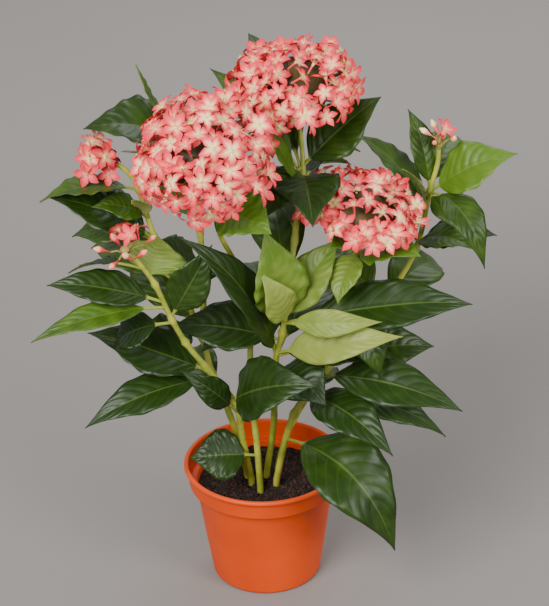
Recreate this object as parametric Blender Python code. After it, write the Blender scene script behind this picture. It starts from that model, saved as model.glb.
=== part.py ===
"""Pentas in a tapered pot: soil, six leafy stems and six flower heads.

Metres, +Z up, the origin at the centre of the pot's underside, the front towards -Y.
All tables are in millimetres.
"""
import math

import bmesh
import bpy
import numpy as np
from mathutils import Matrix, Vector
from mathutils.bvhtree import BVHTree

MM = 0.001

# Pot
RIM_RADIUS = 60.0
POT_HEIGHT = 94.5
COLLAR_BOTTOM_Z = 78.0
COLLAR_BOTTOM_RADIUS = 56.4
BODY_TOP_RADIUS = 51.8
BASE_RADIUS = 41.0
WALL = 1.5
FLOOR = 2.0
POT_SIDES = 32
DRAIN_HOLES = 5
DRAIN_RADIUS = 4.0
DRAIN_CIRCLE = 24.0

# Soil
SOIL_TOP_Z = 75.0
SOIL_SIDES = 18
GAP = 0.3
STEM_DEPTH = 14.0

# Stems
STEM_SIDES = 5
STEM_FOOT_RADIUS = 2.9
STEM_END_RADIUS = 1.8
KNOT_SWELL = 1.28

# Leaves
LEAF_THICKNESS = 0.9
STALK_HALF_WIDTH = 1.1
STALK_THICKNESS = 1.8
LEAF_STATIONS = ((0.0, 0.0), (0.17, 0.64), (0.38, 1.0), (0.62, 0.84), (0.84, 0.38))
NARROW_STATIONS = ((0.0, 0.0), (0.30, 0.94), (0.68, 0.74))
NARROW_WIDTH = 25.0
LEAF_FOLD = 0.16
LEAF_WAVE = 0.10
FACING = Vector((0.0, -0.45, 0.89))
TEST_MARGIN = 0.5

# Florets
PETALS = 5
PETAL_OUTLINE = ((-36.0, 0.44), (0.0, 1.0))
FLORET_CROWN = 0.9
FLORET_NECK = 2.6
NECK_RADIUS = 1.3
# Below this half width a head counts as small.
SMALL_HEAD = 25.0
# The size of a head's core and the depth of its tubes' feet, as shares of its dome.
SMALL_CORE = (0.45, 0.10)
FULL_CORE = (0.74, 0.60)
GOLDEN_ANGLE = math.pi * (3.0 - math.sqrt(5.0))

# Points this close, in metres, are merged after a union, where the mesh stays closed.
MERGE_DISTANCES = (5e-6, 2e-6, 5e-7)

SEED = 47

# Each stem: its node, then the points it passes through, from the soil upwards.
STEMS = {
    "front_left": ((-9, -3, 75), (-15, -13, 120), (-20, -24, 158), (-39, -38, 196), (-52, -46, 221),
                   (-60, -52, 242), (-70, -60, 274), (-79, -65, 292), (-86, -68, 302)),
    "back_left": ((-12, 6, 75), (-23, 8, 124), (-36, 4, 166), (-42, 2, 198), (-55, 2, 237),
                  (-72, 4, 277), (-82, 6, 315), (-92, 6, 332), (-105, 5, 337)),
    "middle": ((-3, -14, 75), (-5, -14, 120), (-8, -10, 160), (-7, -8, 213), (-8, -8, 236),
               (-16, -18, 268), (-26, -38, 303), (-30, -59, 348)),
    "top": ((1, 4, 75), (8, -8, 130), (10, -24, 188), (16, -32, 219), (20, -34, 248),
            (26, -16, 283), (33, 14, 321), (32, 21, 348), (30, 25, 368)),
    "right": ((8, -6, 75), (16, -14, 118), (23, -20, 145), (41, -24, 182), (53, -22, 215),
              (62, -18, 240), (70, -13, 266), (74, -10, 298)),
    "back_right": ((9, 13, 75), (21, 21, 111), (51, 28, 158), (92, 36, 207), (115, 40, 246),
                   (125, 42, 292), (130, 42, 312), (131, 42, 324)),
}
# A side shoot without flowers, grown from the back left stem.
SHOOT_PARENT = "back_left"
SHOOT = ((-42, 2, 198), (-40, 10, 233), (-41, 20, 276), (-46, 28, 323), (-52, 30, 350))

# Each leaf: share of the way up its stem, its tip, its width, how far its middle rises
# (a share of its length), its roll about its own length in degrees, and its stalk's share.
LEAVES = {
    "front_left": (
        (0.50, (-120, -34, 226), 46, 0.02, 0, 0.10),
        (0.47, (-124, -70, 170), 30, 0.10, 0, 0.14),
        (0.80, (-143, -58, 277), 30, 0.05, 0, 0.14),
        (0.78, (-154, -85, 247), 22, 0.09, 0, 0.16),
        (0.72, (-104, -36, 214), 32, 0.14, 0, 0.22),
        (0.93, (-131, -40, 276), 22, 0.08, 0, 0.30),
        (0.90, (-66, -44, 302), 46, 0.04, 20, 0.06),
        (0.35, (35, -75, 202), 48, 0.12, 25, 0.10),
        (0.30, (-54, -55, 202), 22, 0.10, 0, 0.25),
        (0.74, (-31, -66, 304), 30, 0.08, 0, 0.14),
    ),
    "back_left": (
        (0.88, (-149, -20, 321), 32, 0.10, 0, 0.14),
        (0.80, (-113, -12, 312), 25, 0.14, 0, 0.16),
        (0.74, (-142, -20, 325), 44, 0.08, 0, 0.12),
        (0.74, (-133, 22, 273), 28, 0.16, 0, 0.20),
        (0.80, (-84, -24, 322), 15, 0.05, 60, 0.20),
        (0.45, (-98, 78, 232), 42, 0.16, 0, 0.14),
        (0.60, (-124, 55, 250), 38, 0.18, 0, 0.14),
        (0.24, (-66, 66, 140), 38, 0.26, 0, 0.16),
        (0.45, (-88, -20, 200), 36, 0.20, 0, 0.18),
    ),
    "shoot": (
        (0.94, (-116, 8, 364), 50, 0.10, 0, 0.12),
        (0.98, (-77, 15, 406), 15, -0.10, 30, 0.12),
        (0.75, (-90, -20, 358), 15, 0.04, 50, 0.20),
        (0.28, (-72, -14, 284), 36, 0.06, 0, 0.16),
        (0.50, (-78, 98, 292), 38, 0.16, 0, 0.14),
        (0.92, (-62, 104, 318), 34, 0.16, 0, 0.14),
        (0.72, (-5, 60, 345), 34, 0.10, 0, 0.16),
    ),
    "middle": (
        (0.70, (-34, -58, 276), 26, 0.10, 0, 0.18),
        (0.90, (10, -76, 318), 42, 0.10, 0, 0.12),
        (0.48, (-42, -30, 205), 30, 0.14, 0, 0.18),
        (0.11, (-54, -26, 113), 40, 0.10, 0, 0.20),
    ),
    "top": (
        (0.86, (4, -34, 310), 36, 0.12, -20, 0.14),
        (0.50, (6, -48, 306), 42, 0.06, 0, 0.08),
        (0.39, (-44, -44, 300), 44, 0.08, 0, 0.10),
        (0.84, (-3, 84, 411), 42, 0.12, 0, 0.12),
        (0.84, (-30, 62, 384), 28, 0.10, 0, 0.14),
        (0.80, (-3, -6, 383), 17, 0.05, 50, 0.14),
        (0.84, (38, -42, 308), 50, 0.12, 0, 0.12),
        (0.82, (74, 46, 326), 30, 0.14, 0, 0.16),
        (0.86, (88, 24, 374), 44, 0.04, 20, 0.10),
        (0.50, (3, -60, 280), 26, 0.14, 0, 0.14),
        (0.51, (57, -42, 298), 38, 0.06, 0, 0.08),
        (0.41, (97, -60, 229), 30, 0.10, 30, 0.12),
        (0.50, (84, -56, 238), 20, 0.12, 40, 0.12),
        (0.40, (88, -40, 200), 30, 0.14, 0, 0.12),
        (0.35, (45, -64, 178), 48, 0.22, 0, 0.12),
        (0.45, (-64, -22, 222), 40, 0.08, 0, 0.10),
        (0.50, (150, -29, 239), 40, 0.05, 5, 0.16),
        (0.40, (-8, 92, 216), 44, 0.16, 0, 0.12),
        (0.40, (52, 84, 196), 42, 0.18, 0, 0.12),
        (0.56, (8, 98, 282), 42, 0.14, 0, 0.12),
        (0.68, (66, 92, 300), 40, 0.16, 0, 0.12),
    ),
    "right": (
        (0.90, (54, -48, 250), 28, 0.10, 0, 0.16),
        (0.86, (112, -40, 282), 44, 0.16, 0, 0.12),
        (0.90, (50, -42, 290), 24, 0.10, 0, 0.16),
        (0.72, (84, -62, 198), 32, 0.24, 0, 0.20),
        (0.47, (141, -62, 170), 38, 0.10, 0, 0.12),
        (0.54, (84, -14, 181), 18, 0.12, 0, 0.25),
        (0.38, (132, -40, 136), 28, 0.18, 0, 0.20),
        (0.39, (90, -88, 152), 38, 0.14, 0, 0.10),
        (0.20, (94, -72, 60), 56, 0.34, 0, 0.12),
    ),
    "back_right": (
        (0.82, (73, 46, 338), 34, 0.10, 0, 0.12),
        (0.88, (111, 52, 352), 24, 0.08, 0, 0.14),
        (0.88, (183, 25, 328), 40, 0.10, 10, 0.14),
        (0.88, (161, -8, 254), 28, 0.34, 0, 0.14),
        (0.74, (172, 30, 263), 28, 0.08, 0, 0.10),
        (0.74, (154, -2, 266), 32, 0.14, 0, 0.12),
        (0.84, (105, 18, 322), 15, 0.05, 60, 0.16),
        (0.88, (141, 0, 281), 13, 0.14, 30, 0.20),
        (0.36, (84, 104, 176), 42, 0.18, 0, 0.12),
        (0.54, (46, 98, 222), 38, 0.16, 0, 0.14),
        (0.54, (140, 100, 204), 40, 0.18, 0, 0.14),
        (0.74, (88, 122, 262), 38, 0.14, 0, 0.14),
        (0.88, (150, 112, 306), 34, 0.14, 0, 0.14),
        (0.20, (48, 78, 124), 36, 0.24, 0, 0.16),
        (0.36, (128, 20, 176), 38, 0.18, 0, 0.14),
    ),
}

# Each head: its centre, the two half sizes of its dome (across and along its axis), its axis,
# how far down the dome the florets reach in degrees, florets, buds, and a floret's radius.
HEADS = {
    "front": ((-32, -61, 367), 44, 40, (-0.08, -0.48, 0.87), 112, 52, 0, 11.8),
    "top": ((29, 26, 381), 43, 29, (0.0, -0.24, 0.97), 99, 40, 0, 11.8),
    "right": ((73, -10, 302), 43, 18, (0.20, -0.14, 0.97), 94, 29, 0, 11.6),
    "small_left": ((-109, 5, 340), 15, 18, (-0.35, -0.30, 0.88), 122, 12, 0, 9.0),
    "bud_left": ((-88, -68, 305), 19, 12, (-0.15, -0.30, 0.94), 92, 3, 6, 9.0),
    "bud_right": ((131, 42, 328), 14, 14, (0.10, -0.10, 0.98), 64, 1, 7, 8.5),
}
HEAD_STEM = {
    "front": "middle",
    "top": "top",
    "right": "right",
    "small_left": "back_left",
    "bud_left": "front_left",
    "bud_right": "back_right",
}


def clear_scene():
    """Remove every object, so that the part starts from nothing."""
    for obj in list(bpy.data.objects):
        bpy.data.objects.remove(obj, do_unlink=True)


def new_material(name, colour, roughness):
    """One Principled material in a plain colour."""
    material = bpy.data.materials.new(name)
    material.use_nodes = True
    shader = material.node_tree.nodes["Principled BSDF"]
    shader.inputs["Base Color"].default_value = (*colour, 1.0)
    shader.inputs["Roughness"].default_value = roughness
    return material


def new_object(name, points, faces):
    """A mesh object from points in millimetres."""
    mesh = bpy.data.meshes.new(name)
    mesh.from_pydata([tuple(c * MM for c in p) for p in points], [], faces)
    mesh.validate()
    obj = bpy.data.objects.new(name, mesh)
    bpy.context.scene.collection.objects.link(obj)
    return obj


def face_outwards(obj):
    """Make all faces of a closed mesh point out."""
    work = bmesh.new()
    work.from_mesh(obj.data)
    bmesh.ops.recalc_face_normals(work, faces=work.faces)
    work.to_mesh(obj.data)
    work.free()


def revolve(profile, sides):
    """Turn a closed profile of (radius, height), both ends on the axis, about Z."""
    points = []
    rows = []
    for radius, height in profile:
        if radius == 0.0:
            rows.append([len(points)] * sides)
            points.append((0.0, 0.0, height))
            continue
        start = len(points)
        for side in range(sides):
            angle = 2.0 * math.pi * side / sides
            points.append((radius * math.cos(angle), radius * math.sin(angle), height))
        rows.append(list(range(start, start + sides)))
    faces = []
    for low, high in zip(rows, rows[1:]):
        for side in range(sides):
            after = (side + 1) % sides
            corners = (low[side], low[after], high[after], high[side])
            unique = list(dict.fromkeys(corners))
            if len(unique) > 2:
                faces.append(tuple(unique))
    return points, faces


# Booleans
def is_closed(mesh):
    """True where every edge of a mesh has exactly two faces."""
    work = bmesh.new()
    work.from_mesh(mesh)
    closed = all(len(edge.link_faces) == 2 for edge in work.edges)
    work.free()
    return closed


def apply_boolean(obj, operand, operation):
    """Apply one Boolean with an object or a collection, and remove what it used."""
    modifier = obj.modifiers.new("join", "BOOLEAN")
    modifier.operation = operation
    is_collection = isinstance(operand, bpy.types.Collection)
    members = list(operand.objects) if is_collection else [operand]
    for member in members:
        member.hide_render = True
        member.display_type = "WIRE"
    if is_collection:
        modifier.operand_type = "COLLECTION"
        modifier.collection = operand
    else:
        modifier.object = operand
    for solver in ("EXACT", "MANIFOLD"):
        modifier.solver = solver
        depsgraph = bpy.context.evaluated_depsgraph_get()
        result = bpy.data.meshes.new_from_object(obj.evaluated_get(depsgraph))
        if is_closed(result):
            break
    obj.modifiers.clear()
    obj.data = result
    for member in members:
        bpy.data.objects.remove(member, do_unlink=True)
    if is_collection:
        bpy.data.collections.remove(operand)


def tidy_mesh(mesh, distance):
    """Triangles of a mesh, with points closer than a distance merged."""
    work = bmesh.new()
    work.from_mesh(mesh)
    bmesh.ops.triangulate(work, faces=work.faces)
    if distance:
        bmesh.ops.remove_doubles(work, verts=work.verts, dist=distance)
        bmesh.ops.dissolve_degenerate(work, edges=work.edges, dist=distance)
        bmesh.ops.triangulate(work, faces=work.faces)
    return work


def keep_largest_body(obj):
    """Drop loose scraps and sealed hollows, and split what is left into triangles."""
    for distance in MERGE_DISTANCES:
        work = tidy_mesh(obj.data, distance)
        if all(len(edge.link_faces) == 2 for edge in work.edges):
            break
        work.free()
        work = tidy_mesh(obj.data, 0.0)
    unseen = set(work.faces)
    bodies = []
    while unseen:
        body = {unseen.pop()}
        front = list(body)
        while front:
            face = front.pop()
            for edge in face.edges:
                for neighbour in edge.link_faces:
                    if neighbour in unseen:
                        unseen.discard(neighbour)
                        body.add(neighbour)
                        front.append(neighbour)
        bodies.append(body)
    bodies.sort(key=len, reverse=True)
    for body in bodies[1:]:
        bmesh.ops.delete(work, geom=list(body), context="FACES")
    loose = [v for v in work.verts if not v.link_faces]
    bmesh.ops.delete(work, geom=loose, context="VERTS")
    work.to_mesh(obj.data)
    work.free()


def unite(name, shapes):
    """Join closed shapes, each a pair of points and faces, into one body."""
    first = new_object(name, *shapes[0])
    face_outwards(first)
    if len(shapes) > 1:
        group = bpy.data.collections.new(name + "_shapes")
        bpy.context.scene.collection.children.link(group)
        for number, shape in enumerate(shapes[1:]):
            piece = new_object(f"{name}_shape_{number}", *shape)
            bpy.context.scene.collection.objects.unlink(piece)
            group.objects.link(piece)
            face_outwards(piece)
        apply_boolean(first, group, "UNION")
    keep_largest_body(first)
    return first


def cut(obj, shape):
    """Cut a closed shape out of a body."""
    cutter = new_object(obj.name + "_cutter", *shape)
    face_outwards(cutter)
    apply_boolean(obj, cutter, "DIFFERENCE")


# Pot and soil
def pot_profile():
    """Outside from the underside up over the rolled lip, then the inside down."""
    inner_step_z = COLLAR_BOTTOM_Z + WALL
    return (
        (0.0, 0.0),
        (BASE_RADIUS - 2.0, 0.0),
        (BASE_RADIUS, 1.8),
        (BODY_TOP_RADIUS, COLLAR_BOTTOM_Z),
        (COLLAR_BOTTOM_RADIUS, COLLAR_BOTTOM_Z + 0.4),
        (RIM_RADIUS - 1.9, POT_HEIGHT - 4.6),
        (RIM_RADIUS - 0.2, POT_HEIGHT - 3.6),
        (RIM_RADIUS, POT_HEIGHT - 1.2),
        (RIM_RADIUS - 1.2, POT_HEIGHT),
        (RIM_RADIUS - 2.6, POT_HEIGHT - 0.5),
        (COLLAR_BOTTOM_RADIUS - WALL, inner_step_z + 0.6),
        (BODY_TOP_RADIUS - WALL, inner_step_z - 1.0),
        (BASE_RADIUS - WALL, FLOOR),
        (0.0, FLOOR),
    )


def inner_radius(height):
    """Radius of the pot's inside at a height below the collar."""
    low = BASE_RADIUS - WALL
    high = BODY_TOP_RADIUS - WALL
    share = (height - FLOOR) / (COLLAR_BOTTOM_Z + WALL - 1.0 - FLOOR)
    return low + (high - low) * share


def build_pot():
    """The moulded pot with drain holes through its floor."""
    pot = new_object("pot", *revolve(pot_profile(), POT_SIDES))
    face_outwards(pot)
    for number in range(DRAIN_HOLES):
        angle = 2.0 * math.pi * (number + 0.5) / DRAIN_HOLES
        centre = (DRAIN_CIRCLE * math.cos(angle), DRAIN_CIRCLE * math.sin(angle))
        rod = ((0.0, -2.0), (DRAIN_RADIUS, -2.0), (DRAIN_RADIUS, FLOOR + 2.0), (0.0, FLOOR + 2.0))
        points, faces = revolve(rod, 8)
        points = [(x + centre[0], y + centre[1], z) for x, y, z in points]
        cut(pot, (points, faces))
    keep_largest_body(pot)
    return pot


def soil_height(x, y):
    """Lumpy top of the soil."""
    lumps = 1.1 * math.sin(0.21 * x + 1.0) * math.cos(0.17 * y)
    crumbs = 0.7 * math.sin(0.43 * x + 0.37 * y)
    return SOIL_TOP_Z + lumps + crumbs


def build_soil():
    """The filling of the pot, with a plain hole for each stem."""
    chord = math.cos(math.pi / POT_SIDES)
    foot_z = FLOOR + GAP
    foot = inner_radius(foot_z) * chord - GAP
    brim = inner_radius(SOIL_TOP_Z) * chord - GAP
    rings = [(0.0, foot_z), (foot, foot_z), (brim, SOIL_TOP_Z)]
    rings += [(brim * share, SOIL_TOP_Z) for share in (0.8, 0.58, 0.36, 0.15)]
    rings += [(0.0, SOIL_TOP_Z)]
    points, faces = revolve(rings, SOIL_SIDES)
    shaped = []
    for x, y, z in points:
        on_top = z > SOIL_TOP_Z - 1.0
        shaped.append((x, y, soil_height(x, y) if on_top else z))
    soil = new_object("soil", shaped, faces)
    face_outwards(soil)
    for path in STEMS.values():
        cut(soil, stem_tube(path, GAP))
    keep_largest_body(soil)
    return soil


# Stems
def rounded_path(points, steps=2):
    """Points of a smooth curve through the given ones."""
    places = [Vector(p) for p in points]
    ends = [2.0 * places[0] - places[1]] + places + [2.0 * places[-1] - places[-2]]
    path = []
    for number in range(len(places) - 1):
        before, here, there, after = ends[number:number + 4]
        for step in range(steps):
            t = step / steps
            square = t * t
            cube = square * t
            place = 0.5 * (
                2.0 * here
                + (there - before) * t
                + (2.0 * before - 5.0 * here + 4.0 * there - after) * square
                + (3.0 * here - before - 3.0 * there + after) * cube
            )
            path.append(place)
    path.append(places[-1])
    return path


def point_on_stem(path, share):
    """The place a share of the way along a stem."""
    places = rounded_path(path)
    lengths = [(b - a).length for a, b in zip(places, places[1:])]
    goal = share * sum(lengths)
    for start, end, length in zip(places, places[1:], lengths):
        if goal <= length:
            return start.lerp(end, goal / length)
        goal -= length
    return places[-1].copy()


def tube(places, radii, sides):
    """A closed tube with rings that stay square to its path."""
    points = []
    across = Vector((1.0, 0.0, 0.0))
    for number, place in enumerate(places):
        before = places[max(number - 1, 0)]
        after = places[min(number + 1, len(places) - 1)]
        along = (after - before).normalized()
        across = (across - along * across.dot(along)).normalized()
        upright = along.cross(across)
        for side in range(sides):
            angle = 2.0 * math.pi * side / sides
            ray = across * math.cos(angle) + upright * math.sin(angle)
            points.append(tuple(place + ray * radii[number]))
    faces = [tuple(range(sides))]
    for ring in range(len(places) - 1):
        for side in range(sides):
            after = (side + 1) % sides
            low = ring * sides
            high = low + sides
            faces.append((low + side, low + after, high + after, high + side))
    last = (len(places) - 1) * sides
    faces.append(tuple(range(last, last + sides)))
    return points, faces


def stem_tube(path, margin=0.0, foot=True):
    """A stem with swollen knots, or the hole it stands in when there is a margin."""
    places = rounded_path(path)
    if foot:
        places[0] = places[0] - Vector((0.0, 0.0, STEM_DEPTH + margin))
    count = len(places) - 1
    radii = []
    for number in range(len(places)):
        radius = STEM_FOOT_RADIUS + (STEM_END_RADIUS - STEM_FOOT_RADIUS) * number / count
        is_knot = number % 2 == 0 and 2 < number < count - 2
        radii.append(radius * (KNOT_SWELL if is_knot else 1.0) + margin)
    if margin:
        places[-1] = places[-1] + (places[-1] - places[-2]).normalized() * margin
    return tube(places, radii, STEM_SIDES)


# Leaves
def leaf_frame(base, tip, roll):
    """The way a leaf's upper face points."""
    along = (tip - base).normalized()
    up = FACING - along * FACING.dot(along)
    if up.length < 0.2:
        up = Vector((0.0, -1.0, 0.0)) - along * -along.y
    up.normalize()
    return Matrix.Rotation(math.radians(roll), 3, along) @ up


def leaf_shape(base, leaf, phase, margin=0.0):
    """A stalked, pointed blade, folded along its midrib and waved at its edges."""
    tip, width, arch, roll, stalk = leaf
    length = (tip - base).length
    up = leaf_frame(base, tip, roll)
    bend = base.lerp(tip, 0.5) + up * (2.0 * arch * length)
    rings = [(0.0, STALK_HALF_WIDTH, STALK_THICKNESS, 0.0)]
    stations = NARROW_STATIONS if width < NARROW_WIDTH else LEAF_STATIONS
    for number, (share, wide) in enumerate(stations):
        half = max(0.5 * width * wide, STALK_HALF_WIDTH * 1.2)
        thick = LEAF_THICKNESS if number else STALK_THICKNESS * 0.8
        wave = LEAF_WAVE * half * (1.0 if number else 0.0)
        rings.append((stalk + (1.0 - stalk) * share, half + margin, thick + 2.0 * margin, wave))
    points = []
    for number, (t, half, thick, wave) in enumerate(rings):
        place = base * (1 - t) ** 2 + bend * (2 * t * (1 - t)) + tip * t ** 2
        along = ((bend - base) * (1 - t) + (tip - bend) * t).normalized()
        normal = (up - along * up.dot(along)).normalized()
        across = along.cross(normal)
        rise = LEAF_FOLD * half if number > 1 else 0.0
        left = rise + wave * math.sin(phase + 2.4 * number)
        right = rise + wave * math.sin(phase + 1.9 + 2.7 * number)
        top = normal * (0.5 * thick)
        rows = (place + across * half + normal * left, place, place - across * half + normal * right)
        points += [tuple(row + top) for row in rows]
        points += [tuple(row - top) for row in rows]
    end = tip + (tip - bend).normalized() * margin
    points.append(tuple(end))
    return points, leaf_faces(len(rings))


def leaf_faces(count):
    """Triangles of a leaf, split alike on both faces."""
    faces = [(0, 1, 4), (0, 4, 3), (1, 2, 5), (1, 5, 4)]
    for ring in range(count - 1):
        a = 6 * ring
        b = a + 6
        for top in (0, 1):
            faces.append((a + top, b + top, b + top + 1))
            faces.append((a + top, b + top + 1, a + top + 1))
            faces.append((a + top + 3, b + top + 4, b + top + 3))
            faces.append((a + top + 3, a + top + 4, b + top + 4))
        faces += [(a, a + 3, b + 3), (a, b + 3, b), (a + 2, b + 2, b + 5), (a + 2, b + 5, a + 5)]
    a = 6 * (count - 1)
    end = a + 6
    faces += [(a, end, a + 1), (a + 1, end, a + 2), (a + 3, a + 4, end), (a + 4, a + 5, end)]
    faces += [(a, a + 3, end), (a + 2, end, a + 5)]
    return faces


def try_moves():
    """Moves of a leaf's tip and turns of its blade, the smallest first."""
    depth = Vector((0.0, 0.885, -0.465))
    rise = Vector((0.0, 0.465, 0.885))
    side = Vector((1.0, 0.0, 0.0))
    yield Vector((0.0, 0.0, 0.0)), 0.0, 1.0
    for step in range(5, 60, 5):
        for direction in (depth, -depth, rise, -rise, side, -side):
            amount = step if direction in (depth, -depth) else 0.4 * step
            for turn in (0.0, 18.0, -18.0, 40.0, -40.0):
                yield direction * amount, turn, 1.0 - 0.004 * step


def blade_only(shape):
    """A leaf without its stalk and the narrow start of its blade."""
    points = shape[0][12:]
    return points, leaf_faces((len(points) - 1) // 6)


class Obstacles:
    """What a new leaf must stay clear of, kept by node."""

    def __init__(self):
        self.items = []

    def add(self, node, shape, blade=None):
        """Other nodes meet the whole shape, and its own node only the blade."""
        own = blade or shape
        self.items.append((node, self.grown(shape), self.grown(own)))

    def grown(self, shape):
        """The search tree of a shape and the corners of its box."""
        points, faces = shape
        cloud = np.array(points)
        tree = BVHTree.FromPolygons([Vector(p) for p in points], faces)
        return tree, cloud.min(axis=0), cloud.max(axis=0)

    def hit(self, node, shape):
        """True where a leaf crosses another node, or its blade crosses its own node."""
        whole = self.grown(shape)
        blade = self.grown(blade_only(shape))
        for other, other_whole, other_own in self.items:
            mine = blade if other == node else whole
            theirs = other_own if other == node else other_whole
            if (mine[1] > theirs[2]).any() or (mine[2] < theirs[1]).any():
                continue
            if mine[0].overlap(theirs[0]):
                return True
        return False


def settle_leaves(obstacles):
    """Bend each leaf clear of what it would cross, and give the shapes by node."""
    draw = np.random.default_rng(SEED)
    shapes = {}
    for stem, rows in LEAVES.items():
        node = SHOOT_PARENT if stem == "shoot" else stem
        path = SHOOT if stem == "shoot" else STEMS[stem]
        for share, tip, width, arch, roll, stalk in rows:
            base = point_on_stem(path, share)
            phase = draw.uniform(0.0, 2.0 * math.pi)
            for move, turn, size in try_moves():
                leaf = (Vector(tip) + move, width * size, arch, roll + turn, stalk)
                if not obstacles.hit(node, leaf_shape(base, leaf, phase, TEST_MARGIN)):
                    shape = leaf_shape(base, leaf, phase)
                    shapes.setdefault(node, []).append(shape)
                    obstacles.add(node, shape, blade_only(shape))
                    break
    return shapes


# Flower heads
def turned(axis):
    """Two directions square to an axis."""
    helper = Vector((1.0, 0.0, 0.0)) if abs(axis.x) < 0.8 else Vector((0.0, 1.0, 0.0))
    first = (helper - axis * helper.dot(axis)).normalized()
    return first, axis.cross(first)


def dome_places(head):
    """Where florets and buds stand on a head's dome, and the way each one faces."""
    centre, across, along, axis, reach, florets, buds, size = head
    middle = Vector(centre)
    pole = Vector(axis).normalized()
    first, second = turned(pole)
    total = florets + buds
    lowest = math.cos(math.radians(reach))
    places = []
    for number in range(total):
        height = 1.0 - (1.0 - lowest) * (number + 0.5) / total
        ring = math.sqrt(1.0 - height * height)
        angle = number * GOLDEN_ANGLE
        flat = first * (ring * math.cos(angle)) + second * (ring * math.sin(angle))
        place = middle + flat * across + pole * (height * along)
        facing = (flat / across + pole * (height / along)).normalized()
        facing = (facing + 0.25 * pole).normalized()
        places.append((place, facing))
    return places


def floret_shape(place, facing, root, size, spin, lift):
    """Five pointed petals on a thin tube that runs down into the head."""
    first, second = turned(facing)
    rim = []
    for petal in range(PETALS):
        for degrees, reach in PETAL_OUTLINE:
            angle = math.radians(degrees + 72.0 * petal) + spin
            ray = first * math.cos(angle) + second * math.sin(angle)
            rim.append(place + ray * (size * reach) + facing * (lift * reach * reach))
    points = [tuple(p) for p in rim]
    crown = len(points)
    points.append(tuple(place + facing * FLORET_CROWN))
    neck = len(points)
    for petal in range(PETALS):
        angle = math.radians(72.0 * petal - 36.0) + spin
        ray = first * math.cos(angle) + second * math.sin(angle)
        points.append(tuple(place + ray * NECK_RADIUS - facing * FLORET_NECK))
    points.append(tuple(root))
    foot = len(points) - 1
    faces = []
    count = len(rim)
    for number in range(count):
        after = (number + 1) % count
        petal = number // len(PETAL_OUTLINE)
        next_petal = (petal + 1) % PETALS
        faces.append((crown, number, after))
        at_notch = number % len(PETAL_OUTLINE) == 0
        under = neck + (petal if at_notch else next_petal)
        faces.append((under, after, number))
        if at_notch:
            faces.append((neck + petal, neck + next_petal, number + 1))
    for petal in range(PETALS):
        faces.append((neck + (petal + 1) % PETALS, neck + petal, foot))
    return points, faces


def bud_shape(place, facing, root, spin):
    """A closed bud, thickest near its end."""
    first, second = turned(facing)
    points = [tuple(root)]
    for radius, height in ((0.9, -5.0), (1.9, 0.0)):
        for side in range(PETALS):
            angle = 2.0 * math.pi * side / PETALS + spin
            ray = first * math.cos(angle) + second * math.sin(angle)
            points.append(tuple(place + ray * radius + facing * height))
    points.append(tuple(place + facing * 2.8))
    last = len(points) - 1
    faces = []
    for side in range(PETALS):
        after = (side + 1) % PETALS
        low = 1 + side
        low_after = 1 + after
        faces.append((0, low_after, low))
        faces.append((low, low_after, low_after + PETALS, low + PETALS))
        faces.append((low + PETALS, low_after + PETALS, last))
    return points, faces


def core_and_foot(across):
    """The size of a head's core and the depth of its tubes' feet, as shares of its dome."""
    return SMALL_CORE if across < SMALL_HEAD else FULL_CORE


def core_shape(head):
    """The smaller core that the tubes of a head grow from."""
    centre, across, along, axis, reach, florets, buds, size = head
    core, foot = core_and_foot(across)
    middle = Vector(centre)
    pole = Vector(axis).normalized()
    first, second = turned(pole)
    work = bmesh.new()
    bmesh.ops.create_icosphere(work, subdivisions=2, radius=1.0)
    points = []
    for vert in work.verts:
        flat = first * vert.co.x + second * vert.co.y
        place = middle + flat * (across * core) + pole * (vert.co.z * along * core)
        points.append(tuple(place))
    faces = [tuple(v.index for v in face.verts) for face in work.faces]
    work.free()
    return points, faces


def head_shapes(name):
    """The core of a head and every floret and bud on it."""
    head = HEADS[name]
    centre, across, along, axis, reach, florets, buds, size = head
    middle = Vector(centre)
    draw = np.random.default_rng(SEED + len(name))
    core, foot = core_and_foot(across)
    shapes = [core_shape(head)]
    places = dome_places(head)
    open_until = florets
    for number, (place, facing) in enumerate(places):
        lean = Vector(draw.uniform(-0.22, 0.22, 3))
        facing = (facing + lean).normalized()
        place = place + facing * draw.uniform(-2.2, 2.2)
        spin = draw.uniform(0.0, 1.25)
        root = middle.lerp(place, foot)
        is_open = number < open_until
        if buds:
            is_open = number % (1 + round(buds / florets)) == 0 and open_until > 0
            open_until -= 1 if is_open else 0
        if is_open:
            lift = draw.uniform(-1.2, 1.4)
            shapes.append(floret_shape(place, facing, root, size, spin, lift))
        else:
            shapes.append(bud_shape(place, facing, root, spin))
    return shapes


def build_head(name):
    """One flower head, with a plain hole in its core for the stem's end."""
    head = unite("head_" + name, head_shapes(name))
    cut(head, stem_tube(STEMS[HEAD_STEM[name]], GAP))
    keep_largest_body(head)
    return head


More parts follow.
